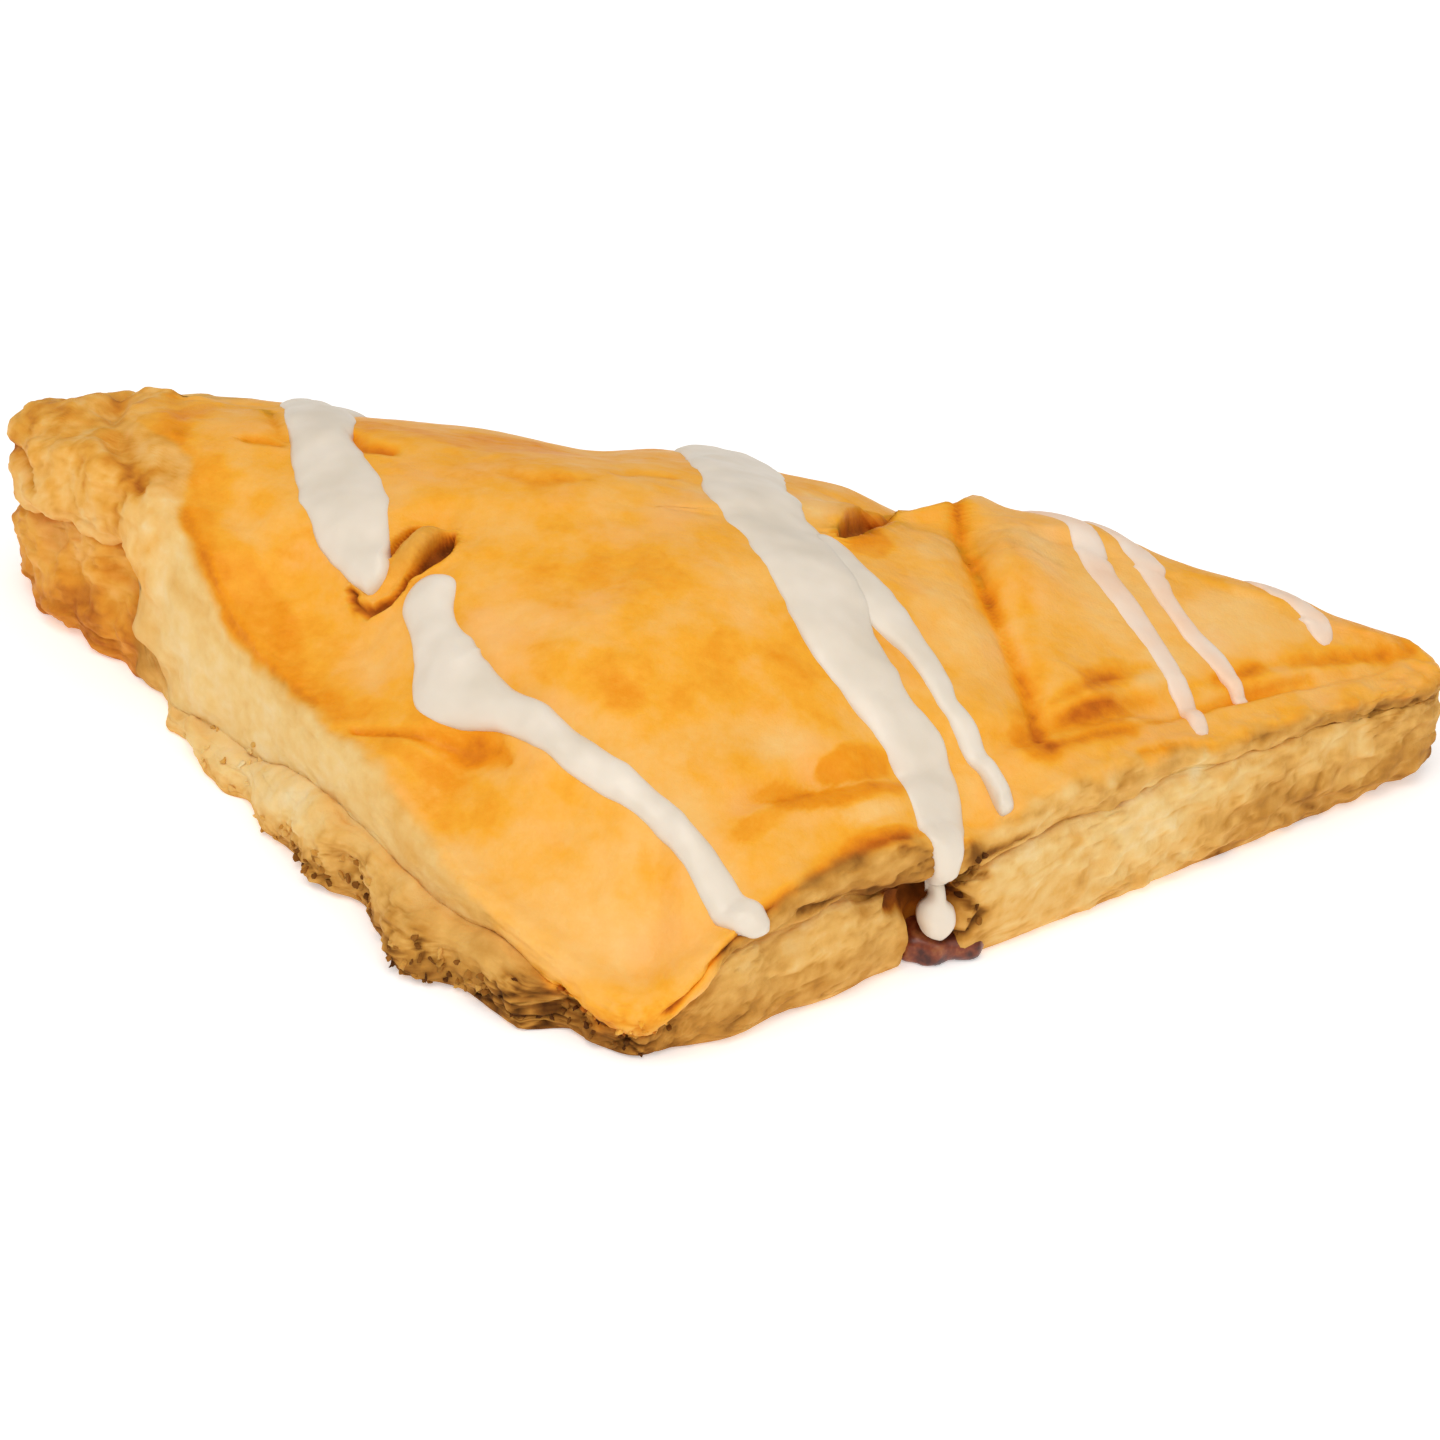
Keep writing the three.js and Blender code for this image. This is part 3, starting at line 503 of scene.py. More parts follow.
# Cracks and pressed lines: rows as above; depth, and how much darker each is painted, partly browning and
# partly painted shade in its groove.
CRACKS = [
    ([[-34.5, -14.6, 0.4], [-28, -16.6, 0.6], [-23, -18, 1], [-19.4, -19.6, 1.3], [-17, -21.4, 0.5]], 0.8, 0.2),
    ([[26, 34, 0.9], [27.5, 26.2, 0.9], [29.6, 20, 0.8], [32.8, 13, 0.8], [35.4, 8, 0.9],
      [38, 2, 1.2]], 0.9, 0.26),
    ([[33, 28, 1], [34.6, 20, 1.1], [36.2, 12.6, 1.1], [38, 5, 1]], 0.3, 0.1),
    ([[33.4, 11.4, 0.6], [35.4, 6.6, 0.9], [37.2, 2.4, 0.8], [38.6, -1.2, 0.6]], 0.3, 0.16),
    ([[38.6, 0.4, 0.8], [44, 6.4, 1.1], [50.5, 12.5, 1.1], [58, 20, 1], [64, 26, 1.1], [72, 32.6, 1],
      [80.6, 39, 0.7]], 0.5, 0.18),
    ([[39.6, 4, 0.8], [45.4, 12, 1.2], [50, 17.5, 0.8]], 0.3, 0.18),
    ([[40, -2.2, 0.9], [48.6, 5.4, 1], [55, 13.6, 0.8], [61.8, 20.4, 0.9], [68.5, 27, 0.7]], 0.4, 0.2),
    ([[50, 2.4, 0.5], [58, 9.6, 0.8], [66, 17.6, 0.8], [76, 27, 0.8], [84, 36, 0.6]], 0.3, 0.16),
    ([[11.6, -37, 0.7], [14.8, -33.8, 1], [18.4, -29.2, 1.1], [21.6, -25.6, 1], [26, -21, 0.7]], 0.5, 0.24),
    ([[-55, 34, 0.4], [-51.6, 25.5, 0.9], [-50.4, 24.6, 0.6]], 0.5, 0.14),
    ([[-55.6, 24.8, 0.5], [-53, 24.6, 0.9], [-51, 23.8, 0.5]], 0.5, 0.2),
    ([[-43.6, 26.4, 0.6], [-41.6, 23.4, 1.2], [-38.2, 22.2, 0.8]], 0.8, 0.3),
    ([[-24, 16.8, 0.9], [-20, 15.4, 1.3], [-15, 16.6, 0.9]], 0.25, 0.1),
    ([[-12, 19.6, 0.8], [-9.8, 21.6, 1.1], [-6, 22, 0.8]], 0.3, 0.12),
    ([[-64.5, 22, 0.6], [-60.4, 14.8, 0.9], [-55.6, 6, 0.9], [-49, -1.4, 0.8], [-40, -9.4, 0.5]], 0.25, 0.08),
    ([[12.6, -36.2, 0.4], [9.6, -39.6, 0.4], [7, -42.6, 0.4], [4.4, -46.4, 0.4]], 0.6, 0.36),
    ([[17, -35.6, 0.5], [21.5, -32.6, 0.9], [26.4, -29.4, 1.5], [31, -26.8, 2], [35.4, -24.4, 1.6]], 0.8, 0.3),
    ([[26, -23, 0.8], [30, -21.4, 1.6], [33, -21, 1.4]], 0.2, 0.16),
    ([[-74.5, 44, 1], [-73.5, 35, 1.5], [-71, 27, 1.6], [-67, 20, 1]], 1.1, 0.12),
    ([[-80, 42, 1], [-79.5, 35, 1.6], [-76.5, 28, 1.3]], 0.6, 0.1),
    ([[-66, 40, 0.8], [-65.4, 34, 1.2], [-63, 27, 0.8]], 0.4, 0.1),
    ([[-89.5, 46, 0.6], [-89.5, 40, 0.8], [-87, 34.5, 0.5]], 1.3, 0.3),
    ([[-66, 12, 0.6], [-60, 6, 0.9], [-54, 1, 0.7]], 0.3, 0.08),
]
# Round patches of the top: plan x, y, radii, turn in degrees, change of browning; the lighter ones (negative)
# stand partly for pale sheen on the glaze, painted highlight.
PATCHES = [
    (-52, 4, 19, 4.4, -50, 0.13), (-41, -4, 9, 4, -50, 0.07), (-35, -13, 7, 3.5, -45, 0.08),
    (-62, 18, 11, 6, -60, 0.12), (-24, 23, 8, 5, 0, 0.08), (-23, -17, 8, 1.6, -30, 0.08),
    (-27, -19.4, 7, 1.2, -30, 0.1), (-11, -14, 9, 3, -28, 0.13), (-22, -24, 9, 3, -40, 0.08),
    (37, 0, 2.6, 5, 20, 0.14), (35, -15.5, 6, 1.4, 45, 0.16), (23.8, -22.6, 5.5, 1.4, 42, 0.24),
    (38.5, -2.4, 2.2, 3, 45, 0.14), (-10, 1, 14, 8, -10, 0.06), (1, -12, 13, 5, -25, 0.07),
    (17.4, -20.6, 7.5, 1.7, 34, 0.26), (19, -15.8, 5.6, 1.8, 42, 0.28), (13, -22, 4, 1.4, 30, 0.16),
    (21.6, -20.4, 3.8, 1.1, 38, -0.2), (11, -27, 5, 1.2, 45, 0.14), (24.4, -15, 5, 1, 45, 0.16),
    (12, -9, 6, 2.4, -30, 0.08), (46, 14, 6, 1.6, 48, 0.12), (60, 24, 12, 1.6, 45, 0.1),
    (72, 34, 10, 2.5, 42, 0.1), (44.6, 5.4, 6, 1.6, 45, 0.14), (-70, 33, 3, 9, 0, 0.08),
    (-64, 31, 3, 8, -10, 0.1), (-30, 29, 20, 5, 0, 0.1), (16.6, 23.6, 2.2, 7.5, -10, 0.16),
    (17.4, 18.6, 2.4, 3.6, -15, 0.22), (-4, -25, 13, 4.5, -30, -0.1), (-8, -36, 15, 7, -25, -0.12),
    (-27, -27, 6, 3.5, -45, -0.06), (4, 6, 4, 7, -30, -0.06), (45, 27, 7, 9, 20, -0.16),
    (60, 30, 9, 6, 35, -0.2), (52, 18, 8, 4, 45, -0.16), (36, 28, 4, 6, 0, -0.14), (33, 14, 2.6, 8, -20, -0.08),
    (27, 9, 4, 9, -20, -0.1), (25, 24, 2, 5, -15, -0.1), (23, -28, 8, 1.5, 45, -0.08),
    (-12, 14, 7, 3.5, 0, -0.07), (-20, -7, 5, 3.5, 0, -0.1), (11, -16.5, 5, 3, 20, -0.13),
    (10.8, 26, 3, 7, -10, -0.2), (-36, 14, 5, 4, 0, -0.06), (-30, -30, 4, 2.5, -40, -0.06),
    (-36, -7, 4, 3, -30, -0.08), (-58, -4, 6, 3, -50, -0.06), (30, -12, 4, 2.4, 45, -0.08),
]
LEAK = np.array([29, -18.1, 5.2])
LEAK_REACH = 9  # how far outwards and inwards of it the wall is shaped
# Hollows where the jam has pushed out: along the edge from the leak, up from the table, half width,
# depth and half height.
HOLLOWS = [(-0.6, 8.8, 3.6, 3, 2.6), (0.2, 4.2, 2.7, 2.8, 5), (-4.2, 9.4, 2.6, 1.4, 1.5)]
# Burnt cracks beside it: rows are along the edge, up from the table, half width.
SCORCHES = [
    [[3.9, 14.4, 0.5], [4.3, 12.9, 0.9], [4.4, 11.4, 0.7], [3, 10, 0.3]],
    [[1.8, 9, 0.3], [3.6, 8, 0.35], [5.2, 6.4, 0.5], [4.2, 4.6, 0.4], [2.8, 3, 0.4]],
    [[3, 10.6, 0.2], [6.4, 10.5, 0.25]],
    [[4.6, 13, 0.5], [8, 13.4, 0.6], [12, 13.8, 0.4]],
]
EDGE_RIGHT = np.array([math.sqrt(0.5), math.sqrt(0.5), 0])
EDGE_OUT = np.array([math.sqrt(0.5), -math.sqrt(0.5), 0])


def patch_field(x, y, cx, cy, long, across, turn):
    a = math.radians(turn)
    dx, dy = x - cx, y - cy
    px = dx * math.cos(a) + dy * math.sin(a)
    py = -dx * math.sin(a) + dy * math.cos(a)
    return np.exp(-((px / long) ** 2 + (py / across) ** 2))


SLIT_FIELDS, CRACK_FIELDS = (
    [(*path_field(path, X, Y), depth, shade) for path, depth, shade in table] for table in (SLITS, CRACKS)
)
FLAP_FIELD = patch_field(X, Y, *FLAP)


def leaf_layers(run, z, pitch, seed):
    """Edges of stacked leaves: each leaf stands out by its own amount, with a thin gap above it."""
    wander = 0.9 * leaf_noise(stacked(run, z * 1.5, 3 + seed), 16)
    wander += 0.35 * leaf_noise(stacked(run, z, 9 + seed), 4)
    phase = z / pitch + wander * 2.2
    leaf = np.floor(phase)
    part = phase - leaf
    stand = leaf_noise(stacked(run, leaf * 37.7, 5 + seed), 9)
    stand += 0.6 * leaf_noise(stacked(run, leaf * 19.3, 7 + seed), 3)
    gap = np.exp(-((part - 0.5) / 0.5) ** 8)
    return stand * 1.2 + gap * 0.7 - 0.55


def leaf_edges(run, z):
    """Thin wandering lines where a leaf of the dough ends."""
    long_ones = bell(leaf_noise(stacked(run, z * 2.6, 31), 7), 0.035)
    short_ones = bell(leaf_noise(stacked(run, z * 1.8, 71), 3.2), 0.045)
    return np.maximum(long_ones, 0.7 * short_ones)


def add_top_detail():
    """Blisters, wrinkles, slits and cracks of the top, along the skin's own normal."""
    p, n = skin.points, skin.normals()
    top = smoothstep(-0.5, 3, skin.inside)
    left_tip = smoothstep(-60, -74, X)
    blisters = octaves(blister_noise, p, (12, 0.8), (5.2, 0.38), (2.1, 0.15))
    lumps = octaves(crag_noise, p, (7, 2.4), (3.2, 0.9), (1.5, 0.25))
    wrinkled = np.clip(0.3 + 1.6 * crag_noise(p, 14) + bell(skin.inside - 6, 6), 0, 1)
    wrinkles = 0.22 * crag_noise(p * (0.6, 1.2, 1), 1.8) + 0.1 * crag_noise(p, 0.9)
    d = (blisters + wrinkled * wrinkles) * mix(0.35, 1, top) + lumps * left_tip
    warp = 0.35 * crag_noise(p, 2.4)
    for distance, half, depth, _ in SLIT_FIELDS:
        cut = smoothstep(1.4, 0.4, (distance + 0.4 * warp) / half)
        d = d - depth * cut + 0.35 * bell(distance / half - 1.8, 0.7)
    for distance, half, depth, _ in CRACK_FIELDS:
        d -= depth * bell((distance + 0.5 * warp) / half, 1)
    d += 1.1 * FLAP_FIELD
    skin.points = p + n * d[..., None]


def add_wall_detail():
    """Stacked leaves and crumbs of the cut sides; the folded side stays smooth. Gives back painted shade for
    the gaps between the crumbs.
    """
    p, n = skin.points, skin.normals()
    u, z, run = skin.u, p[..., 2], skin.run
    on_wall = smoothstep(1.5, -0.6, skin.inside)
    cut_left = span(u, 0.26, 0.97, 0.04)
    cut_right = span(u, 1.03, 1.96, 0.04)
    tip = span(u, -0.03, 0.22, 0.04)
    front = span(u, 0.9, 1.04, 0.04)
    # The seam wanders up and down.
    wander = 1.1 * crag_noise(stacked(run, 0, 5), 9) + 0.8 * crag_noise(stacked(run, 0, 9), 3.2)
    wander = wander * bell(ROWS - SEAM_ROW, 12) * (cut_right + 0.5 * cut_left) * smoothstep(0, 6, z)
    p = p + stacked(0, 0, wander)
    # Leaves of the dough.
    low_amount = cut_left * 0.22 + cut_right * 0.2 + front * 0.2 + tip * 0.12
    high_amount = cut_left * 0.1 + cut_right * 0.26 + front * 0.2 + tip * 0.1
    layers = 0.6 * leaf_layers(run, z, 1.25, 0) + 0.6 * leaf_layers(run, z, 2.6, 40)
    d = np.where(BELOW_SEAM, low_amount, high_amount) * layers * on_wall
    # Lumps and flakes.
    crag = octaves(crag_noise, p, (6, 1.4), (3.2, 0.9), (1.5, 0.4))
    lumpy = span(u, 0.6, 0.96, 0.06) + span(u, 0.32, 0.6, 0.05) * 0.5 + front * 0.4 + tip * 0.6
    d += np.where(BELOW_SEAM, lumpy, 0.12 * lumpy) * crag * on_wall
    d += on_wall * (cut_right * 0.4 + 0.1) * crag_noise(p, 6)
    flaky = span(u, 1.5, 2.0, 0.06) * 1.1 + span(u, 1.06, 1.3, 0.04) * 0.4 + tip * 0.6
    d += on_wall * flaky * (crag_noise(p * (0.7, 0.7, 1.4), 2.4) * 0.9 + crag_noise(p, 1.3) * 0.3)
    leafy = cut_right * (0.5 + 0.9 * crag_noise(p, 9)) + 0.4 * cut_left + 0.7 * tip
    d -= 0.4 * leaf_edges(run, p[..., 2]) * np.clip(leafy, 0, 1) * on_wall
    # Crumbs: thick towards the foot of the left side and round the front corner.
    thick = span(u, 0.6, 0.98, 0.05) + span(u, 0.3, 0.6, 0.06) * 0.3 * smoothstep(5, 1, z) + front * 0.4
    patchy = 0.5 + 1.6 * crag_noise(p, 7)
    thick = thick * smoothstep(8.5, 3, z + 5 * crag_noise(p, 5)) * on_wall * np.clip(patchy, 0.15, 1.3)
    thick = np.clip(thick + tip * on_wall * 0.12, 0, 1)
    # A dent in the rolled left corner.
    away = past(u, 0.015)
    d = d - 1.8 * bell(away, 0.03) * bell(z - 16, 2.4) - 0.7 * bell(away, 0.07) * smoothstep(19, 15, z)
    warped = stirred(p, 1.1, 2.4)
    big, big_gap = pebbles(warped * (1, 1, 1.5), 2.6, 5)
    small, small_gap = pebbles(warped * (1, 1, 1.3), 1.25, 6)
    d += thick * ((big - 0.6) * 0.8 + (small - 0.6) * 0.45 - 0.25 * big_gap - 0.12 * small_gap)
    # Nothing moves at the table, and little right at the seam.
    d = d * smoothstep(0, 1.2, z) * np.clip(0.25 + np.abs(ROWS - SEAM_ROW) / 3, 0, 1)
    skin.points = p + n * d[..., None]
    # Painted shade: how much darker the gaps between the crumbs are painted.
    return thick * (0.36 * big_gap + 0.24 * small_gap)


def open_leak():
    """Presses the wall in where the jam has pushed out through the seam. Gives back where, from 0 to 1."""
    p = skin.points
    v = p - LEAK
    right, out = v @ EDGE_RIGHT, v @ EDGE_OUT
    side = (np.abs(out) < LEAK_REACH) & (skin.inside < 0) & (ROWS < SEAM_ROW + 16)
    ragged = 1 + 0.4 * crag_noise(p, 3)
    mask = np.zeros(side.shape)
    for along_edge, up, half, deep, tall in HOLLOWS:
        r = np.sqrt(((right - along_edge) / half) ** 2 + ((p[..., 2] - up) / tall) ** 2) / ragged
        near = smoothstep(1.35, 0.3, r) * side
        above_bottom = np.maximum((skin.points - LEAK) @ EDGE_OUT + deep, 0)
        skin.points = skin.points - EDGE_OUT * (near * above_bottom)[..., None]
        mask = np.maximum(mask, near)
    burnt = scorches(p) * side
    skin.points = skin.points - skin.normals() * (0.7 * burnt)[..., None]
    return mask


def scorches(p):
    """1 in the burnt cracks beside the leak, 0 away from them."""
    warped = stirred(p, 0.5, 1.6)
    right, up = (warped - LEAK) @ EDGE_RIGHT, warped[..., 2]
    total = np.zeros(right.shape)
    for path in SCORCHES:
        distance, half = path_field(path, right, up)
        total = np.maximum(total, bell(distance / half, 1.2))
    return total * (np.abs((p - LEAK) @ EDGE_OUT) < LEAK_REACH)


smooth_points = skin.points.copy()
smooth_normals = skin.normals()
add_top_detail()
crevice_shade = add_wall_detail()
leak_mask = open_leak()
skin.points[..., 2] = np.maximum(skin.points[..., 2], 0)


# ---------------------------------------------------------------- how the crust is baked
# Along the edge, {place: value}.
GLAZE_OVER = {  # how far past the rim the egg wash runs
    0: -10, 0.1: -8, 0.196: -6, 0.26: -2, 0.309: 1.5, 0.354: 3.4, 0.4: 3.9, 0.45: 3.4, 0.5: 2.2, 0.6: 1.6,
    0.7: 2.2, 0.8: 3.4, 0.9: 6, 0.97: 11, 1.04: 9, 1.08: 3.5, 1.2: 2, 1.35: 2, 1.6: 2.5, 1.75: 2.2, 1.93: 3,
    2.02: 6, 2.1: 8, 2.5: 9, 2.8: 6, 2.9: -4, 2.95: -9,
}
UPPER_BROWN = {
    0: 0.44, 0.1: 0.42, 0.2: 0.38, 0.27: 0.3, 0.32: 0.22, 0.5: 0.2, 0.65: 0.26, 0.8: 0.36, 0.9: 0.44, 1: 0.54,
    1.08: 0.56, 1.2: 0.54, 1.3: 0.5, 1.36: 0.44, 1.45: 0.4, 1.6: 0.38, 1.72: 0.42, 1.85: 0.5, 1.95: 0.54,
    2.1: 0.4, 2.8: 0.4, 2.92: 0.44,
}
MIDDLE_BROWN = {
    0: 0.5, 0.18: 0.5, 0.24: 0.34, 0.35: 0.24, 0.46: 0.16, 0.56: 0.18, 0.62: 0.34, 0.75: 0.4, 0.9: 0.48, 1: 0.6,
    1.06: 0.54, 1.13: 0.4, 1.25: 0.34, 1.33: 0.45, 1.4: 0.24, 1.5: 0.18, 1.62: 0.24, 1.72: 0.36, 1.85: 0.4,
    1.93: 0.46, 2.1: 0.4, 2.9: 0.4,
}
FOOT_BROWN = {
    0: 0.64, 0.18: 0.64, 0.25: 0.44, 0.35: 0.36, 0.5: 0.36, 0.58: 0.56, 0.8: 0.62, 0.95: 0.6, 1.05: 0.66,
    1.12: 0.6, 1.2: 0.5, 1.32: 0.5, 1.42: 0.34, 1.55: 0.34, 1.7: 0.5, 1.85: 0.6, 1.95: 0.62, 2.5: 0.6,
    2.9: 0.66,
}


def baking():
    """Browning (0 raw dough to 1 dark) and egg glaze (0 none to 1) at every point of the skin."""
    p = skin.points
    u, z, inside = skin.u, p[..., 2], skin.inside
    # Top: blotches, patches and the scorched left end.
    blotch = octaves(tint_noise, p, (11, 0.12), (4.5, 0.1), (1.9, 0.06))
    ragged = octaves(tint_noise, p, (5.5, 0.34), (2.2, 0.2))
    top = 0.44 + blotch + 0.05 * (smoothstep(-0.04, 0.04, tint_noise(p + 50, 7) + 0.4 * ragged) - 0.5)
    # Lighter patches stand partly for pale sheen on the glaze: painted highlight.
    for *place, change in PATCHES:
        soft = patch_field(X, Y, *place)
        crisp = smoothstep(0.3, 0.56, soft + ragged) * smoothstep(0.02, 0.12, soft)
        top += change * (0.4 * soft + 0.65 * crisp)
    top = np.minimum(top, 0.6 + 0.35 * (top - 0.6))
    left_tip = smoothstep(-62, -71, X + 4 * tint_noise(p, 5))
    flakes = np.abs(tint_noise(p * (1.5, 0.6, 1), 5)) + 0.5 * np.abs(tint_noise(p, 1.8))
    streaks = 0.2 * tint_noise(p * (1.4, 1.4, 0.4), 2.8) + 0.16 * tint_noise(p * (1.4, 1.4, 0.5), 1.3)
    top = mix(top, 0.38 + 1.4 * blotch + 0.5 * flakes * smoothstep(-58, -68, X) + streaks, left_tip)
    # Walls: by place and height, with streaks along the leaves.
    share = np.clip(z / np.maximum(along(SEAM_Z, u), 1), 0, 1)
    lower = mix(along(FOOT_BROWN, u), along(MIDDLE_BROWN, u), smoothstep(0.05, 0.75, share))
    wall = np.where(BELOW_SEAM, lower, along(UPPER_BROWN, u))
    streak = leaf_noise(stacked(skin.run, z * 5, 1), 8) * 0.12
    streak += leaf_noise(stacked(skin.run, z * 3.5, 4), 2.8) * 0.1
    speckle = tint_noise(p * (0.8, 0.8, 1.3), 1.7) * 0.14 + tint_noise(p, 0.9) * 0.06
    right_side = span(u, 1.05, 2, 0.08)
    right_end = span(u, 1.5, 2, 0.08)
    tip = np.maximum(span(u, -0.08, 0.17, 0.05), span(u, 0.1, 0.27, 0.06) * smoothstep(9, 16, z))
    wall += tip * ~BELOW_SEAM * (1.1 * streaks + 0.34 * flakes - 0.08)
    wall = wall + streak * 0.5 + blotch * (1.5 + 0.8 * right_end) + speckle * (0.6 + 0.8 * right_side)
    edges = leaf_edges(skin.run, z) * (0.04 + 0.1 * right_side)
    wall += edges * np.clip(0.6 + 1.4 * tint_noise(p, 8), 0, 1)
    # Painted shade in the crease between the lower left lobe and the lower sheet.
    wall += 0.16 * bell(u - 0.228, 0.014) * BELOW_SEAM
    # Painted shade along the seam between the two sheets, in patches, at the left end and along the right side.
    patchy = np.clip(0.55 + 1.5 * tint_noise(p + 90, 5), 0, 1)
    seam = bell(ROWS - SEAM_ROW, 2.6) * patchy
    seen = span(u, 0.0, 0.22, 0.03) + span(u, 1.06, 1.97, 0.05) * (1 - 0.5 * smoothstep(1.5, 1.8, u))
    wall += 0.26 * seam * seen
    wall += 0.16 * bell(ROWS - SEAM_ROW - 1, 6.5) * patchy * span(u, 1.36, 1.56, 0.05)
    # The egg wash runs over the rim.
    over = inside + along(GLAZE_OVER, u) + 1.6 * tint_noise(p, 4) + 0.8 * tint_noise(p, 1.6)
    to_top = smoothstep(-1.4, 1.0, over)
    brown = mix(wall, top, to_top)
    rim_line = bell(over + 0.2, 1.2) * span(u, 0.3, 0.78, 0.06)
    # The gaps between the crumbs are painted darker as shade.
    brown = brown + 0.04 * rim_line + crevice_shade
    brown += 0.1 * bell(u - 0.96, 0.04) * smoothstep(7, 3, z) * (1 + 2 * tint_noise(p, 3))
    # Cracks, slits and the flap. Cracks and slits are painted darker, partly as browning and partly as painted
    # shade inside them.
    lines = np.zeros(brown.shape)
    for distance, half, _, darker in CRACK_FIELDS:
        lines = np.maximum(lines, darker * bell(distance / half, 1.1))
    brown += lines * (1 + 0.5 * tint_noise(smooth_points, 3.5))
    # Inside each slit the dough is painted dark: partly browning, partly painted shade in the cut.
    opened = np.zeros(brown.shape)
    for distance, half, _, shade in SLIT_FIELDS:
        ragged_edge = smoothstep(1.75, 0.5, (distance + 0.22 * tint_noise(smooth_points, 2.4)) / half)
        opened = np.maximum(opened, ragged_edge)
        brown = mix(brown, shade + 0.1 * tint_noise(smooth_points, 2), ragged_edge)
        brown += 0.07 * bell(distance / half, 2.6)
    brown = mix(brown, 0.5, smoothstep(0.1, 0.7, FLAP_FIELD) * 0.92)
    corner = span(u, 0.93, 1.02, 0.04) * smoothstep(7, 3, z)
    glaze = to_top * mix(1, 0.7, left_tip) * (1 - 0.6 * FLAP_FIELD) * (1 - 0.5 * corner) * (1 - 0.2 * opened)
    glaze = np.maximum(glaze, span(u, -0.04, 0.225, 0.012) * BELOW_SEAM * 0.55)
    glaze = np.maximum(glaze, 0.46 * tip * ~BELOW_SEAM * np.clip(1 + tint_noise(p, 6), 0, 1))
    # Where the jam came out: painted shade in the hollows, deepest towards their top, and a redder brown
    # through the glaze.
    hollow_shade = smoothstep(0.05, 0.6, leak_mask)
    brown = mix(brown, mix(0.78, 0.95, smoothstep(4, 10, z)) + 0.1 * tint_noise(p, 2), hollow_shade)
    glaze = np.maximum(glaze, 0.7 * hollow_shade)
    brown += 0.42 * scorches(p) * (inside < 0)
    return np.clip(brown, 0, 1), np.clip(glaze, 0, 1)


browning, glaze = baking()


# ---------------------------------------------------------------- meshes
JAM_LEVEL = 15  # height of the middle of the jam
JAM_HALF = 6.6  # half its thickness under the crown
JAM_REACH = 0.68  # how far it goes from the crown to the rim
JAM_ROUNDNESS = 2.5
JAM_GAP = 0.3  # left between jam and dough
INNER_BROWN = 0.15
UNDER_BROWN = 0.62
CAP_HEIGHTS = (8.1, 21.9)  # middles of the two inner faces, clear of the jam


def put_in_scene(name, data):
    piece = bpy.data.objects.new(name, data)
    bpy.context.scene.collection.objects.link(piece)
    return piece


def shade_smooth(mesh):
    mesh.polygons.foreach_set("use_smooth", [True] * len(mesh.polygons))
    mesh.update()


def mesh_from(name, points, faces):
    """Mesh in metres from points in millimetres."""
    mesh = bpy.data.meshes.new(name)
    mesh.from_pydata(((np.asarray(points) + CENTRING) * MM).tolist(), [], faces)
    mesh.validate()
    shade_smooth(mesh)
    return mesh


def give_attribute(mesh, name, values, kind="FLOAT", field="value"):
    layer = mesh.attributes.new(name, kind, "POINT")
    layer.data.foreach_set(field, np.asarray(values, np.float32).ravel())


def grid_faces(rows, count, closed=True):
    """Faces between rows of count points; a closed grid runs on from the last point to the first."""
    faces = []
    for low in range(0, (rows - 1) * count, count):
        for i in range(count if closed else count - 1):
            n = (i + 1) % count
            faces.append((low + i, low + n, low + count + n, low + count + i))
    return faces


def capped_faces(rows, count):
    """A closed grid, with a fan at each end to the two points that follow its last row."""
    end, last = rows * count, (rows - 1) * count
    pairs = [(i, (i + 1) % count) for i in range(count)]
    fans = [(end, b, a) for a, b in pairs] + [(end + 1, last + a, last + b) for a, b in pairs]
    return grid_faces(rows, count) + fans


def at_crown(z):
    return np.array([CROWN[0], CROWN[1], z])


def drawn_in(edge, far, level):
    """An edge drawn in towards the middle: far is 1 at the edge, 0 at the middle."""
    return stacked(mix(CROWN[0], edge[:, 0], far), mix(CROWN[1], edge[:, 1], far), level)


def cap_rings(edge, sign):
    """Inner face of a sheet, from its edge in the seam to the middle, clear of the jam."""
    rings = []
    for k in range(1, CAP_RINGS):
        far = 1 - k / CAP_RINGS
        middle = mix(JAM_LEVEL, edge[:, 2], smoothstep(0.7, 1, far))
        half = JAM_HALF * np.clip(1 - (far / JAM_REACH) ** JAM_ROUNDNESS, 0, 1) ** (1 / JAM_ROUNDNESS)
        rings.append(drawn_in(edge, far, middle + sign * (half + JAM_GAP)))
    return rings


def make_sheet(name, rings, ends, **fields):
    """One sheet of dough as a closed mesh, each field given by its rows and its values at the two ends."""
    mesh = mesh_from(name, np.concatenate([*rings, ends]), capped_faces(len(rings), STATIONS))
    for label, (rows, end_values) in fields.items():
        give_attribute(mesh, label, np.concatenate([np.concatenate(rows).ravel(), end_values]))
    return put_in_scene(name, mesh)


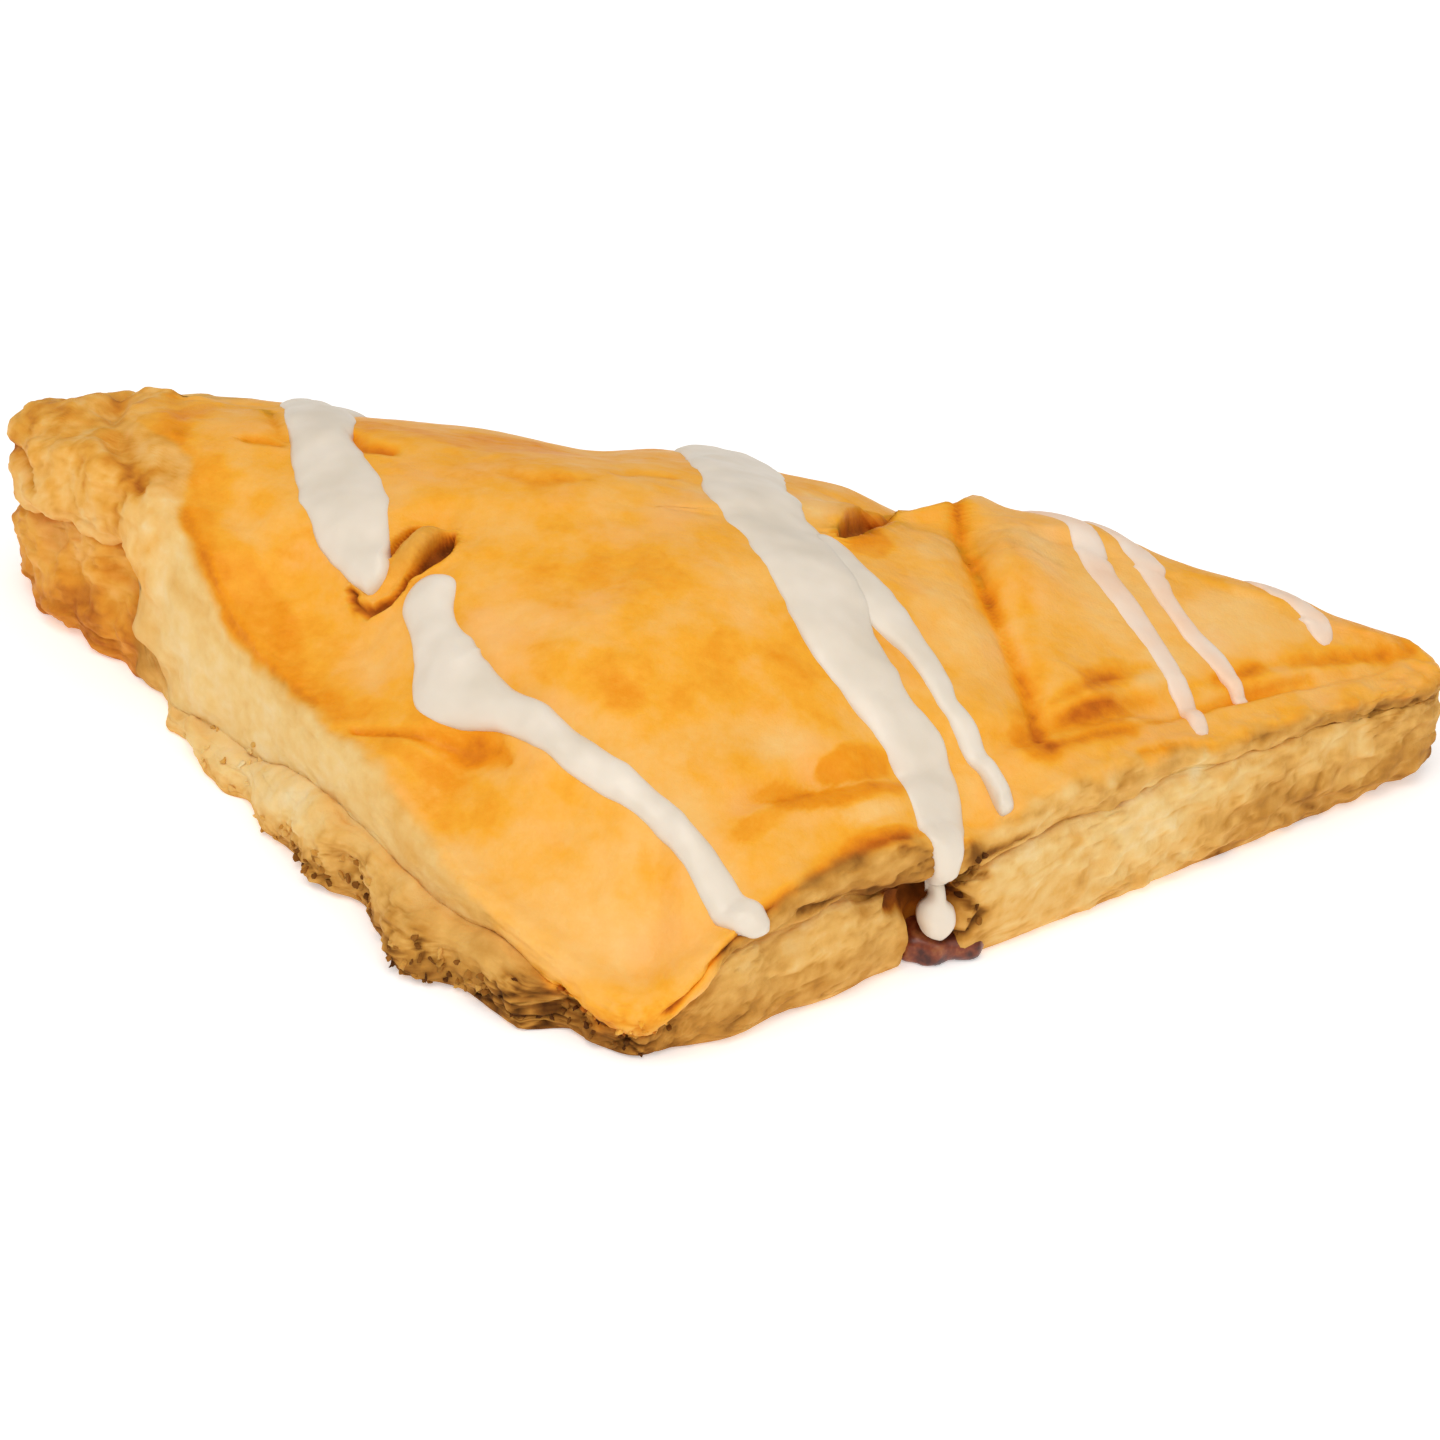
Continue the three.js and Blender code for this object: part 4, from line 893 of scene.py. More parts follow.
def make_crust():
    """The upper and the lower sheet: their outer faces, the underside and the inner faces."""
    edge, crown = skin.points[SEAM_ROW], skin.points[-1].mean(axis=0)
    inner = np.full((CAP_RINGS - 1, STATIONS), INNER_BROWN)
    upper = make_sheet(
        "upper_sheet", cap_rings(edge, 1)[::-1] + list(skin.points[SEAM_ROW:]),
        [at_crown(CAP_HEIGHTS[1]), crown],
        browning=([inner, browning[SEAM_ROW:]], [INNER_BROWN, 0.5]), glaze=([inner, glaze[SEAM_ROW:]], [0, 1]))
    below = slice(0, SEAM_ROW + 1)
    under = [drawn_in(skin.points[0], k / (UNDER_RINGS + 1), 0) for k in range(1, UNDER_RINGS + 1)]
    under_brown = UNDER_BROWN + 0.25 * tint_noise(np.array(under), 8)
    lower = make_sheet(
        "lower_sheet", [*under, *skin.points[below], *cap_rings(edge, -1)],
        [at_crown(0), at_crown(CAP_HEIGHTS[0])],
        browning=([under_brown, browning[below], inner], [0.6, INNER_BROWN]),
        glaze=([np.zeros(under_brown.shape), glaze[below], inner], [0, 0]))
    return upper, lower


# ---------------------------------------------------------------- icing
# Rows are plan x, plan y and half width on the unrolled skin.
ICING = [
    ("icing_left_band", 1.25, [
        [-56.5, 45, 2.2], [-52, 39, 2.9], [-49.5, 35, 3.8], [-48.3, 32, 4.2], [-47.4, 28, 3.9],
        [-46.5, 24, 3.8], [-44.9, 20, 4.1], [-42.9, 16, 4.6], [-41, 12, 4.5], [-39.2, 9, 3.8],
        [-37.4, 6, 2.7], [-36.1, 3.8, 1.8], [-35.4, 2, 1]]),
    ("icing_front_band", 1.25, [
        [-30.3, 1.6, 3.1], [-29.4, -1, 3], [-28.3, -4.4, 2.3], [-27.2, -7, 2.5], [-26.2, -9.4, 3.3],
        [-25, -11.7, 3.6], [-21.8, -14.2, 2.6], [-18.6, -16.3, 1.8], [-14.6, -18.9, 1.7], [-10.6, -21.9, 1.6],
        [-7.2, -24.1, 1.8], [-3, -26.3, 1.7], [0.4, -28.3, 1.6], [2.8, -30.2, 1.5], [4.9, -31.9, 1.7],
        [7.2, -34.1, 1.9], [9.4, -36.3, 2], [12, -39, 2]]),
    ("icing_middle_band", 1.3, [
        [-4, 47, 5.5], [-1.2, 39, 6.7], [0, 34.5, 6.1], [0.7, 30, 5.6], [1.6, 26, 5.4], [2.7, 22.5, 5.7],
        [3.8, 19.5, 5.7], [5.6, 16, 5.4], [8.6, 12.2, 5.8], [11.4, 8.2, 6], [13.4, 4, 5.7], [15.3, 0, 4.6],
        [18.4, -3.7, 4.2], [22.3, -7.2, 3.6], [25.9, -10, 3.8], [28.1, -13.8, 3.6], [30.1, -18, 2.6],
        [31.8, -19.8, 2.1], [33.6, -21.4, 1.7], [35.4, -22.8, 1.2], [36.6, -23.8, 1], [37.4, -24.6, 1.2],
        [38.1, -25.2, 2.2], [39.1, -26.1, 2.6], [40.2, -27.1, 2.6], [41.2, -28, 2.3]]),
    ("icing_branch", 1.05, [
        [11, 16.6, 2], [13.2, 13.6, 2.6], [15.2, 10.9, 2.7], [18, 7.8, 3], [20.7, 5.2, 2.8], [24, 2.6, 1.9],
        [26.6, -0.2, 1.9], [28.2, -3, 1.3], [30.8, -5.4, 1.6], [33.4, -8, 1.1], [35.6, -10.6, 1.2],
        [36.6, -12.1, 0.9]]),
    ("icing_thin_line_1", 0.6, [
        [41, 45, 1.4], [40, 38, 2], [41.8, 33, 2.1], [44.3, 28, 2], [47.2, 24.6, 2], [49.7, 21.6, 1.7],
        [51.6, 19.2, 1.5], [53.4, 16.4, 1.4], [55.2, 13, 1.4], [56.8, 10.2, 1.1]]),
    ("icing_thin_line_2", 0.6, [
        [49, 45, 1.6], [47, 38, 2.4], [48.8, 34, 2], [50.6, 30.4, 1.4], [52.2, 28, 1.3], [54.2, 25.6, 1.5],
        [56.8, 23.4, 1.6], [59, 21.2, 1.3], [61, 18.6, 0.9]]),
    ("icing_dab", 0.6, [
        [62.6, 37.6, 0.7], [65.2, 37.9, 1.1], [67.4, 37.4, 1.5], [68.9, 36, 1.8], [69.2, 34.2, 1.5],
        [68.8, 33.2, 1.1]]),
]
ICING_STEP = 0.45  # between the cross sections
ICING_ACROSS = 24  # faces from side to side
THIN_ICING = 0.8  # bands thinner than this are half clear
SPINE_DENSITY = 40  # points between two rows before they are evened out
SPINE_PASSES = 30
ICING_DEPTH = 0.0008  # how far a band goes down into the crust, in metres
SAME_POINT = 0.00001  # points nearer than this are joined, in metres


def smooth_path(rows, step):
    """Points of a centripetal curve through the rows, about a step apart, and its length."""
    rows = np.array(rows, float)
    p = np.vstack([2 * rows[0] - rows[1], rows, 2 * rows[-1] - rows[-2]])
    dense = []
    for k in range(1, len(p) - 2):
        knots = [0.0]
        for i in range(k - 1, k + 2):
            knots.append(knots[-1] + np.linalg.norm((p[i + 1] - p[i])[:2]) ** 0.5)
        t = np.linspace(knots[1], knots[2], SPINE_DENSITY, endpoint=False)[:, None]

        def blend(a, b, i, j):
            width = knots[j] - knots[i]
            return (knots[j] - t) / width * a + (t - knots[i]) / width * b

        first = [blend(p[k - 1 + i], p[k + i], i, i + 1) for i in range(3)]
        second = [blend(first[i], first[i + 1], i, i + 2) for i in range(2)]
        dense.append(blend(*second, 1, 2))
    dense = np.vstack(dense + [rows[-1:]])
    for _ in range(SPINE_PASSES):
        dense[1:-1] = (dense[:-2] + 2 * dense[1:-1] + dense[2:]) / 4
    s = np.concatenate([[0], np.cumsum(np.linalg.norm(np.diff(dense[:, :2], axis=0), axis=1))])
    at = np.linspace(0, s[-1], max(12, int(s[-1] / step)) + 1)
    return np.column_stack([np.interp(at, s, column) for column in dense.T]), s[-1]


def icing_bed(name, rows, thickness):
    """The strip of skin that the icing lies on, as an open grid with its thickness, edge and way out."""
    spine, length = smooth_path(rows, ICING_STEP)
    place = np.linspace(0, length, len(spine))
    heading = unit(np.gradient(spine[:, :2], axis=0))
    from_end = np.minimum(place, length - place) + 0.12
    round_ = np.sqrt(1 - np.clip(1 - from_end / spine[:, 2], 0, 1) ** 2)
    left, right = (
        1 + 0.13 * crag_noise(stacked(place, 0, a), 5) + 0.08 * crag_noise(stacked(place, 0, b), 2)
        for a, b in ((1.5, 7), (11, 17)))
    share = np.linspace(1, -1, ICING_ACROSS + 1)
    half = spine[:, 2:] * round_[:, None] * np.where(share > 0, left[:, None], right[:, None])
    x = spine[:, :1] - heading[:, 1:] * half * share
    y = spine[:, 1:2] + heading[:, :1] * half * share
    bed, calm, normal = (
        skin.at(x.ravel(), y.ravel(), field) for field in (skin.points, smooth_points, smooth_normals))
    normal = unit(normal)
    # The icing follows a little over half of each bump and dip of the dough.
    lift = np.clip(0.6 * ((bed - calm) * normal).sum(1), -0.5, 2)
    profile = (1 - np.abs(share) ** 2.6) ** 0.6
    swell = 1 + 0.35 * blister_noise(stacked(x, y, 4), 7) + 0.18 * blister_noise(stacked(x, y, 9), 3)
    bead = 1 + 0.55 * bell(length - place - 2.5, 1.9)
    thick = thickness * profile[None, :] * ((0.35 + 0.65 * round_) * bead)[:, None] * swell
    rim = np.ones(x.shape)
    rim[1:-1, 1:-1] = 0
    mesh = mesh_from(name, calm + normal * lift[:, None], grid_faces(*x.shape, closed=False))
    give_attribute(mesh, "thick", thick * MM)
    give_attribute(mesh, "edge", rim)
    give_attribute(mesh, "out", normal, "FLOAT_VECTOR", "vector")
    return mesh


# ---------------------------------------------------------------- node trees
def new_tree(name, inputs):
    """A Geometry Nodes tree with a geometry in and out and the named inputs: its inputs and its end."""
    tree = bpy.data.node_groups.new(name, "GeometryNodeTree")
    tree.interface.new_socket("Geometry", in_out="INPUT", socket_type="NodeSocketGeometry")
    for label, kind, value in inputs:
        socket = tree.interface.new_socket(label, in_out="INPUT", socket_type="NodeSocket" + kind)
        if value is not None:
            socket.default_value = value
    tree.interface.new_socket("Geometry", in_out="OUTPUT", socket_type="NodeSocketGeometry")
    return tree, tree.nodes.new("NodeGroupInput").outputs, tree.nodes.new("NodeGroupOutput")


def feed(tree, target, values):
    """Links or sets the inputs of a node, from {input: source or value}."""
    for name, source in values.items():
        if isinstance(source, bpy.types.NodeSocket):
            tree.links.new(source, target.inputs[name])
        else:
            target.inputs[name].default_value = source


def node(tree, kind, values, output=0, **settings):
    """An output of a new node, with settings on it and its inputs linked or set."""
    made = tree.nodes.new(kind)
    for key, value in settings.items():
        setattr(made, key, value)
    feed(tree, made, values)
    return made.outputs[output]


def math_node(tree, kind, a, b):
    return node(tree, "ShaderNodeMath", {0: a, 1: b}, operation=kind)


def attribute(tree, name, kind="FLOAT"):
    return node(tree, "GeometryNodeInputNamedAttribute", {"Name": name}, "Attribute", data_type=kind)


def end_tree(tree, geometry, material, end):
    """Makes all of it real, paints it and hands it out."""
    real = node(tree, "GeometryNodeRealizeInstances", {"Geometry": geometry})
    feed(tree, end, {0: node(tree, "GeometryNodeSetMaterial", {"Geometry": real, "Material": material})})
    return tree


def poured_icing_tree():
    """Turns a strip of skin into a closed ribbon: domed on top, sunk a little into the crust."""
    tree, given, end = new_tree("poured_icing", [
        ("Sunk", "Float", 0.0004), ("Ripple", "Float", 0.0001), ("Ripple scale", "Float", 260.0),
        ("Icing", "Material", None)])
    noise = node(tree, "ShaderNodeTexNoise", {"Scale": given["Ripple scale"], "Detail": 1.0})
    ripple = math_node(tree, "MULTIPLY", math_node(tree, "SUBTRACT", noise, 0.5), given["Ripple"])
    inner = math_node(tree, "SUBTRACT", 1.0, attribute(tree, "edge"))
    height = math_node(tree, "MULTIPLY", math_node(tree, "ADD", attribute(tree, "thick"), ripple), inner)
    deep = math_node(tree, "MULTIPLY", inner, -ICING_DEPTH)
    shells = []
    for amount in (height, deep):
        shift = node(tree, "ShaderNodeVectorMath", {
            0: attribute(tree, "out", "FLOAT_VECTOR"),
            "Scale": math_node(tree, "SUBTRACT", amount, given["Sunk"])}, operation="SCALE")
        shells.append(node(tree, "GeometryNodeSetPosition", {"Geometry": given["Geometry"], "Offset": shift}))
    joined = tree.nodes.new("GeometryNodeJoinGeometry")
    for shell in (shells[0], node(tree, "GeometryNodeFlipFaces", {"Mesh": shells[1]})):
        feed(tree, joined, {0: shell})
    closed = node(tree, "GeometryNodeMergeByDistance", {"Geometry": joined.outputs[0], "Distance": SAME_POINT})
    return end_tree(tree, closed, given["Icing"], end)


def scattered_crumbs_tree():
    """Loose crumbs stuck to the crust: small lumps, each turned and sized by chance."""
    tree, given, end = new_tree("scattered_crumbs", [
        ("Crumb radius", "Float", 0.0006), ("Crumbs per area", "Float", 900000.0),
        ("Least distance", "Float", 0.0005), ("Seed", "Int", 7), ("Crust", "Material", None)])
    points = node(tree, "GeometryNodeDistributePointsOnFaces", {
        "Mesh": given["Geometry"], "Distance Min": given["Least distance"],
        "Density Max": given["Crumbs per area"], "Density Factor": attribute(tree, "crumbs"),
        "Seed": given["Seed"]}, "Points", distribute_method="POISSON")

    def chance(output, seed, low, high, kind):
        first = 2 if kind == "FLOAT" else 0
        return node(tree, "FunctionNodeRandomValue", {first: low, first + 1: high, "Seed": seed}, output,
                    data_type=kind)

    darker = math_node(tree, "ADD", attribute(tree, "browning"), chance(1, 3, -0.08, 0.34, "FLOAT"))
    stored = node(tree, "GeometryNodeStoreNamedAttribute", {
        "Geometry": points, "Name": "browning", "Value": darker}, data_type="FLOAT", domain="POINT")
    lump = node(tree, "GeometryNodeMeshIcoSphere", {"Radius": given["Crumb radius"], "Subdivisions": 2}, "Mesh")
    dents = node(tree, "ShaderNodeTexNoise", {"Scale": 1300.0, "Detail": 1.0}, "Color")
    dents = node(tree, "ShaderNodeVectorMath", {0: dents, 1: (0.5, 0.5, 0.5)}, operation="SUBTRACT")
    dents = node(tree, "ShaderNodeVectorMath", {0: dents, "Scale": 0.0011}, operation="SCALE")
    lump = node(tree, "GeometryNodeSetPosition", {"Geometry": lump, "Offset": dents})
    placed = node(tree, "GeometryNodeInstanceOnPoints", {
        "Points": stored, "Instance": lump,
        "Rotation": chance(0, 5, (0, 0, 0), (6.28, 6.28, 6.28), "FLOAT_VECTOR"),
        "Scale": chance(0, 9, (0.45, 0.45, 0.35), (1.5, 1.3, 1), "FLOAT_VECTOR")})
    return end_tree(tree, placed, given["Crust"], end)


def keep_modified(piece):
    """Makes what the modifiers of a piece give its plain mesh, and takes them off."""
    made = bpy.data.meshes.new_from_object(piece.evaluated_get(bpy.context.evaluated_depsgraph_get()))
    made.name = piece.name
    piece.modifiers.clear()
    old, piece.data = piece.data, made
    bpy.data.meshes.remove(old)
    return made


def run_tree(piece, tree, values):
    """Runs a tree on a piece with the given named inputs and keeps the result as its plain mesh."""
    modifier = piece.modifiers.new(tree.name, "NODES")
    modifier.node_group = tree
    for item in tree.interface.items_tree:
        if item.item_type == "SOCKET" and item.in_out == "INPUT" and item.name in values:
            modifier[item.identifier] = values[item.name]
    shade_smooth(keep_modified(piece))
    return piece


def make_crumbs(material):
    """Crumbs where the cut edges are roughest, and dark ones where the jam has boiled over."""
    rows = slice(3, SEAM_ROW + 22)
    p, u = skin.points[rows], skin.u[rows]
    z = p[..., 2]
    foot = span(u, 0.58, 0.99, 0.04) + 0.4 * span(u, 0.4, 0.58, 0.04)
    foot = foot * smoothstep(7, 2.5, z + 5 * crag_noise(p, 5)) * np.clip(0.45 + 1.6 * crag_noise(p, 8), 0, 1)
    corner = span(u, 0.96, 1.03, 0.03) * smoothstep(8, 5, z) * 0.25
    beside = scorches(p) * smoothstep(8, 5, (p - LEAK) @ EDGE_RIGHT)
    crowd = np.clip(foot * 0.8 + corner + 0.7 * beside, 0, 1) * smoothstep(0.4, 1, z)
    mesh = mesh_from("crust_crumbs", p.reshape(-1, 3), grid_faces(len(p), STATIONS))
    give_attribute(mesh, "crumbs", crowd)
    give_attribute(mesh, "browning", np.clip(browning[rows] + 0.1 * beside, 0, 1))
    give_attribute(mesh, "glaze", glaze[rows])
    return run_tree(put_in_scene("crust_crumbs", mesh), scattered_crumbs_tree(), {
        "Crust": material, "Crumb radius": 0.00042, "Crumbs per area": 1600000.0, "Least distance": 0.0006,
        "Seed": 7})


def make_icing(material, thin_material):
    tree = poured_icing_tree()
    pieces = []
    for name, thickness, rows in ICING:
        piece = put_in_scene(name, icing_bed(name, rows, thickness))
        chosen = material if thickness > THIN_ICING else thin_material
        pieces.append(run_tree(piece, tree, {
            "Icing": chosen, "Sunk": 0.00025, "Ripple": 0.00012, "Ripple scale": 240.0}))
    return pieces


# ---------------------------------------------------------------- jam
JAM_LUMPS = [  # centre and radii along the edge, outwards and up
    (28.3, -17, 1.7, 2.6, 2.2, 2.3), (29.9, -17.6, 1.4, 2, 1.9, 2), (31.4, -16.4, 1.5, 2, 1.9, 2),
    (33.7, -15.5, 1.4, 2.3, 1.9, 1.8),
]
JAM_RUN = [[16, -4, 14, 4.2], [20, -8, 9.5, 3.4], [24, -12.4, 4.4, 2.3], [27.4, -15.6, 2.2, 1.8]]
RUN_BALLS = 40
LUMP_SIDES = 24
RUN_SIDES = 16
CUSHION_RINGS = 16
CUSHION_SIDES = 96
JAM_MESH_SIZE = 0.00055  # in metres
OFF_TABLE = 0.00005  # in metres
SETTLE_PASSES = 6


def ball(centre, radii, sides):
    """Closed lump with its long radius along the right edge."""
    points = []
    for i in range(1, sides // 2):
        phi = math.pi * i / (sides // 2)
        for k in range(sides):
            theta = 2 * math.pi * k / sides
            points.append([math.sin(phi) * math.cos(theta), math.sin(phi) * math.sin(theta), -math.cos(phi)])
    points += [[0, 0, -1], [0, 0, 1]]
    p = np.array(points) * radii
    spun = p[:, :1] * EDGE_RIGHT - p[:, 1:2] * EDGE_OUT + p[:, 2:] * (0, 0, 1)
    return spun + np.array(centre), capped_faces(sides // 2 - 1, sides)


def jam_cushion():
    """The flat cushion of jam between the sheets."""
    edge = rim_point(np.arange(CUSHION_SIDES) * 3 / CUSHION_SIDES) - CROWN[:2]
    rings = []
    for i in range(1, CUSHION_RINGS):
        phi = (i / CUSHION_RINGS - 0.5) * math.pi
        xy = CROWN[:2] + edge * math.cos(phi) ** (2 / JAM_ROUNDNESS) * JAM_REACH
        up = math.copysign(abs(math.sin(phi)) ** (2 / JAM_ROUNDNESS), phi)
        rings.append(stacked(xy[:, 0], xy[:, 1], JAM_LEVEL + JAM_HALF * up))
    ends = [at_crown(JAM_LEVEL - JAM_HALF), at_crown(JAM_LEVEL + JAM_HALF)]
    return np.concatenate([*rings, ends]), capped_faces(len(rings), CUSHION_SIDES)


def read_vertices(mesh, field):
    values = np.zeros(len(mesh.vertices) * 3, np.float32)
    mesh.vertices.foreach_get(field, values)
    return values.reshape(-1, 3)


def make_jam(material):
    """Lumps in the leak, the run that feeds them and the cushion, melted into one."""
    shapes = [ball((x, y, z), radii, LUMP_SIDES) for x, y, z, *radii in JAM_LUMPS]
    run = np.array(JAM_RUN, float)
    for k in range(RUN_BALLS):
        t = k / (RUN_BALLS - 1) * (len(run) - 1)
        i = min(int(t), len(run) - 2)
        x, y, z, r = mix(run[i], run[i + 1], t - i)
        shapes.append(ball((x, y, z), (r, r * 1.1, r * 0.9), RUN_SIDES))
    shapes.append(jam_cushion())
    faces, base = [], 0
    for points, shape_faces in shapes:
        faces += [tuple(base + i for i in face) for face in shape_faces]
        base += len(points)
    piece = put_in_scene("jam", mesh_from("jam", np.concatenate([points for points, _ in shapes]), faces))
    remesh = piece.modifiers.new("join", "REMESH")
    remesh.mode = "VOXEL"
    remesh.voxel_size = JAM_MESH_SIZE
    piece.modifiers.new("settle", "SMOOTH").iterations = SETTLE_PASSES
    made = keep_modified(piece)
    p, n = read_vertices(made, "co").astype(float), read_vertices(made, "normal")
    p = p + n * (0.45 * crag_noise(p / MM, 1.7) * MM)[:, None]
    p[:, 2] = np.maximum(p[:, 2], OFF_TABLE)
    made.vertices.foreach_set("co", p.astype(np.float32).ravel())
    made.materials.clear()
    made.materials.append(material)
    shade_smooth(made)
    return piece


# ---------------------------------------------------------------- materials
def linear(colour):
    """Linear light values of an 8-bit screen colour."""
    c = np.array(colour, float) / 255
    return [*np.where(c <= 0.04045, c / 12.92, ((c + 0.055) / 1.055) ** 2.4).tolist(), 1.0]


def ramp(tree, factor, stops):
    made = tree.nodes.new("ShaderNodeValToRGB")
    feed(tree, made, {0: factor})
    elements = made.color_ramp.elements
    for element, (position, colour) in zip(elements, (stops[0], stops[-1])):
        element.position, element.color = position, linear(colour)
    for position, colour in stops[1:-1]:
        elements.new(position).color = linear(colour)
    return made.outputs[0]


def blank_material(name):
    """A material with its tree, its shader and the places on the piece."""
    material = bpy.data.materials.new(name)
    material.use_nodes = True
    tree = material.node_tree
    return material, tree, tree.nodes["Principled BSDF"], node(tree, "ShaderNodeTexCoord", {}, "Object")


def noise_at(tree, place, scale, detail=2.0, roughness=0.5):
    return node(tree, "ShaderNodeTexNoise", {
        "Vector": place, "Scale": scale, "Detail": detail, "Roughness": roughness})


def map_range(tree, value, low, high, start=0.0, end=1.0):
    return node(tree, "ShaderNodeMapRange", {
        "Value": value, "From Min": start, "From Max": end, "To Min": low, "To Max": high})


def colour_mix(tree, factor, first, second):
    return node(tree, "ShaderNodeMix", {"Factor": factor, 6: first, 7: second}, 2, data_type="RGBA")


def bump(tree, height, strength, distance):
    return node(tree, "ShaderNodeBump", {"Height": height, "Strength": strength, "Distance": distance})


GLAZED = [
    (0.0, (246, 216, 160)), (0.2, (248, 196, 116)), (0.36, (248, 184, 88)), (0.5, (247, 172, 46)),
    (0.64, (238, 148, 16)), (0.78, (204, 108, 10)), (0.9, (148, 72, 8)), (1.0, (90, 40, 8)),
]
PLAIN = [
    (0.0, (240, 214, 162)), (0.2, (236, 198, 128)), (0.4, (226, 174, 92)), (0.6, (196, 138, 56)),
    (0.8, (146, 94, 34)), (1.0, (84, 48, 16)),
]


def crust_material():
    material, tree, shader, place = blank_material("baked_crust")
    brown, shine = (
        node(tree, "ShaderNodeAttribute", {}, "Fac", attribute_name=name) for name in ("browning", "glaze"))
    mottle = math_node(tree, "SUBTRACT", noise_at(tree, place, 220.0, 3.0), 0.5)
    fine = math_node(tree, "SUBTRACT", noise_at(tree, place, 900.0, 4.0, 0.6), 0.5)
    shade = math_node(tree, "ADD", math_node(tree, "MULTIPLY", mottle, 0.16), brown)
    shade = math_node(tree, "ADD", math_node(tree, "MULTIPLY", fine, 0.16), shade)
    # Random patches of peach on the lighter shades, which stand partly for the soft sheen of the glaze: painted
    # highlight.
    blush_and_sheen = math_node(tree, "SUBTRACT", noise_at(tree, place, 95.0), 0.52)
    blush_and_sheen = node(tree, "ShaderNodeClamp", {0: math_node(tree, "MULTIPLY", blush_and_sheen, 2.6), 2: 0.45})
    blush_and_sheen = math_node(tree, "MULTIPLY", blush_and_sheen, map_range(tree, shade, 1, 0, 0.47, 0.58))
    glazed = colour_mix(tree, blush_and_sheen, ramp(tree, shade, GLAZED), linear((250, 182, 108)))
    # Glazed places shine, dark ones are dry.
    rough = math_node(tree, "ADD", math_node(tree, "MULTIPLY", mottle, 0.3), map_range(tree, shine, 0.72, 0.46))
    rough = math_node(tree, "ADD", rough, map_range(tree, brown, 0, 0.3, 0.66, 0.84))
    wrinkles = math_node(tree, "MULTIPLY", noise_at(tree, place, 380.0, 5.0, 0.6), 2.2)
    grain = math_node(tree, "ADD", noise_at(tree, place, 1400.0, 4.0, 0.65), wrinkles)
    feed(tree, shader, {
        "Base Color": colour_mix(tree, shine, ramp(tree, shade, PLAIN), glazed), "Roughness": rough,
        "Specular IOR Level": 0.16, "Subsurface Weight": 0.12, "Subsurface Radius": (1.0, 0.55, 0.25),
        "Subsurface Scale": 0.002, "Normal": bump(tree, grain, 0.24, 0.0004)})
    return material


def icing_material(name, low, high):
    material, tree, shader, place = blank_material(name)
    feed(tree, shader, {
        "Base Color": ramp(tree, noise_at(tree, place, 160.0), [(0.3, low), (0.7, high)]),
        "Roughness": map_range(tree, noise_at(tree, place, 300.0), 0.38, 0.55),
        "Subsurface Weight": 0.25, "Subsurface Radius": (1.0, 0.8, 0.6), "Subsurface Scale": 0.0015,
        "Coat Weight": 0.12, "Coat Roughness": 0.18,
        "Normal": bump(tree, noise_at(tree, place, 700.0, 3.0), 0.12, 0.0003)})
    return material


def jam_material():
    material, tree, shader, place = blank_material("dark_red_jam")
    pulp = noise_at(tree, place, 520.0, 3.0)
    stops = [(0.34, (70, 22, 10)), (0.52, (132, 60, 28)), (0.72, (182, 116, 66))]
    feed(tree, shader, {
        "Base Color": ramp(tree, pulp, stops), "Roughness": 0.35, "Specular IOR Level": 0.35,
        "Coat Weight": 0.2, "Coat Roughness": 0.08, "Subsurface Weight": 0.2,
        "Subsurface Radius": (1.0, 0.2, 0.05), "Subsurface Scale": 0.002,
        "Normal": bump(tree, pulp, 0.3, 0.0004)})
    return material


def floor_material():
    material, tree, shader, place = blank_material("pale_floor")
    stops = [(0.3, (246, 246, 246)), (0.7, (250, 250, 250))]
    feed(tree, shader, {
        "Base Color": ramp(tree, noise_at(tree, place, 3.0), stops), "Roughness": 0.8,
        "Emission Color": (1, 1, 1, 1), "Emission Strength": 0.35})
    return material


# ---------------------------------------------------------------- pieces
crust = crust_material()
icing = icing_material("set_icing", (225, 212, 193), (238, 226, 210))
thin_icing = icing_material("thin_icing", (248, 208, 176), (244, 224, 206))
jam = jam_material()

for sheet in make_crust():
    sheet.data.materials.append(crust)
    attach(sheet, "root")
    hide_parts("pastry")

crumbs = make_crumbs(crust)
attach(crumbs, "root")
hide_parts("pastry")

for ribbon in make_icing(icing, thin_icing):
    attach(ribbon, "root")
    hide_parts("pastry")

filling = make_jam(jam)
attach(filling, "root")
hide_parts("filling")


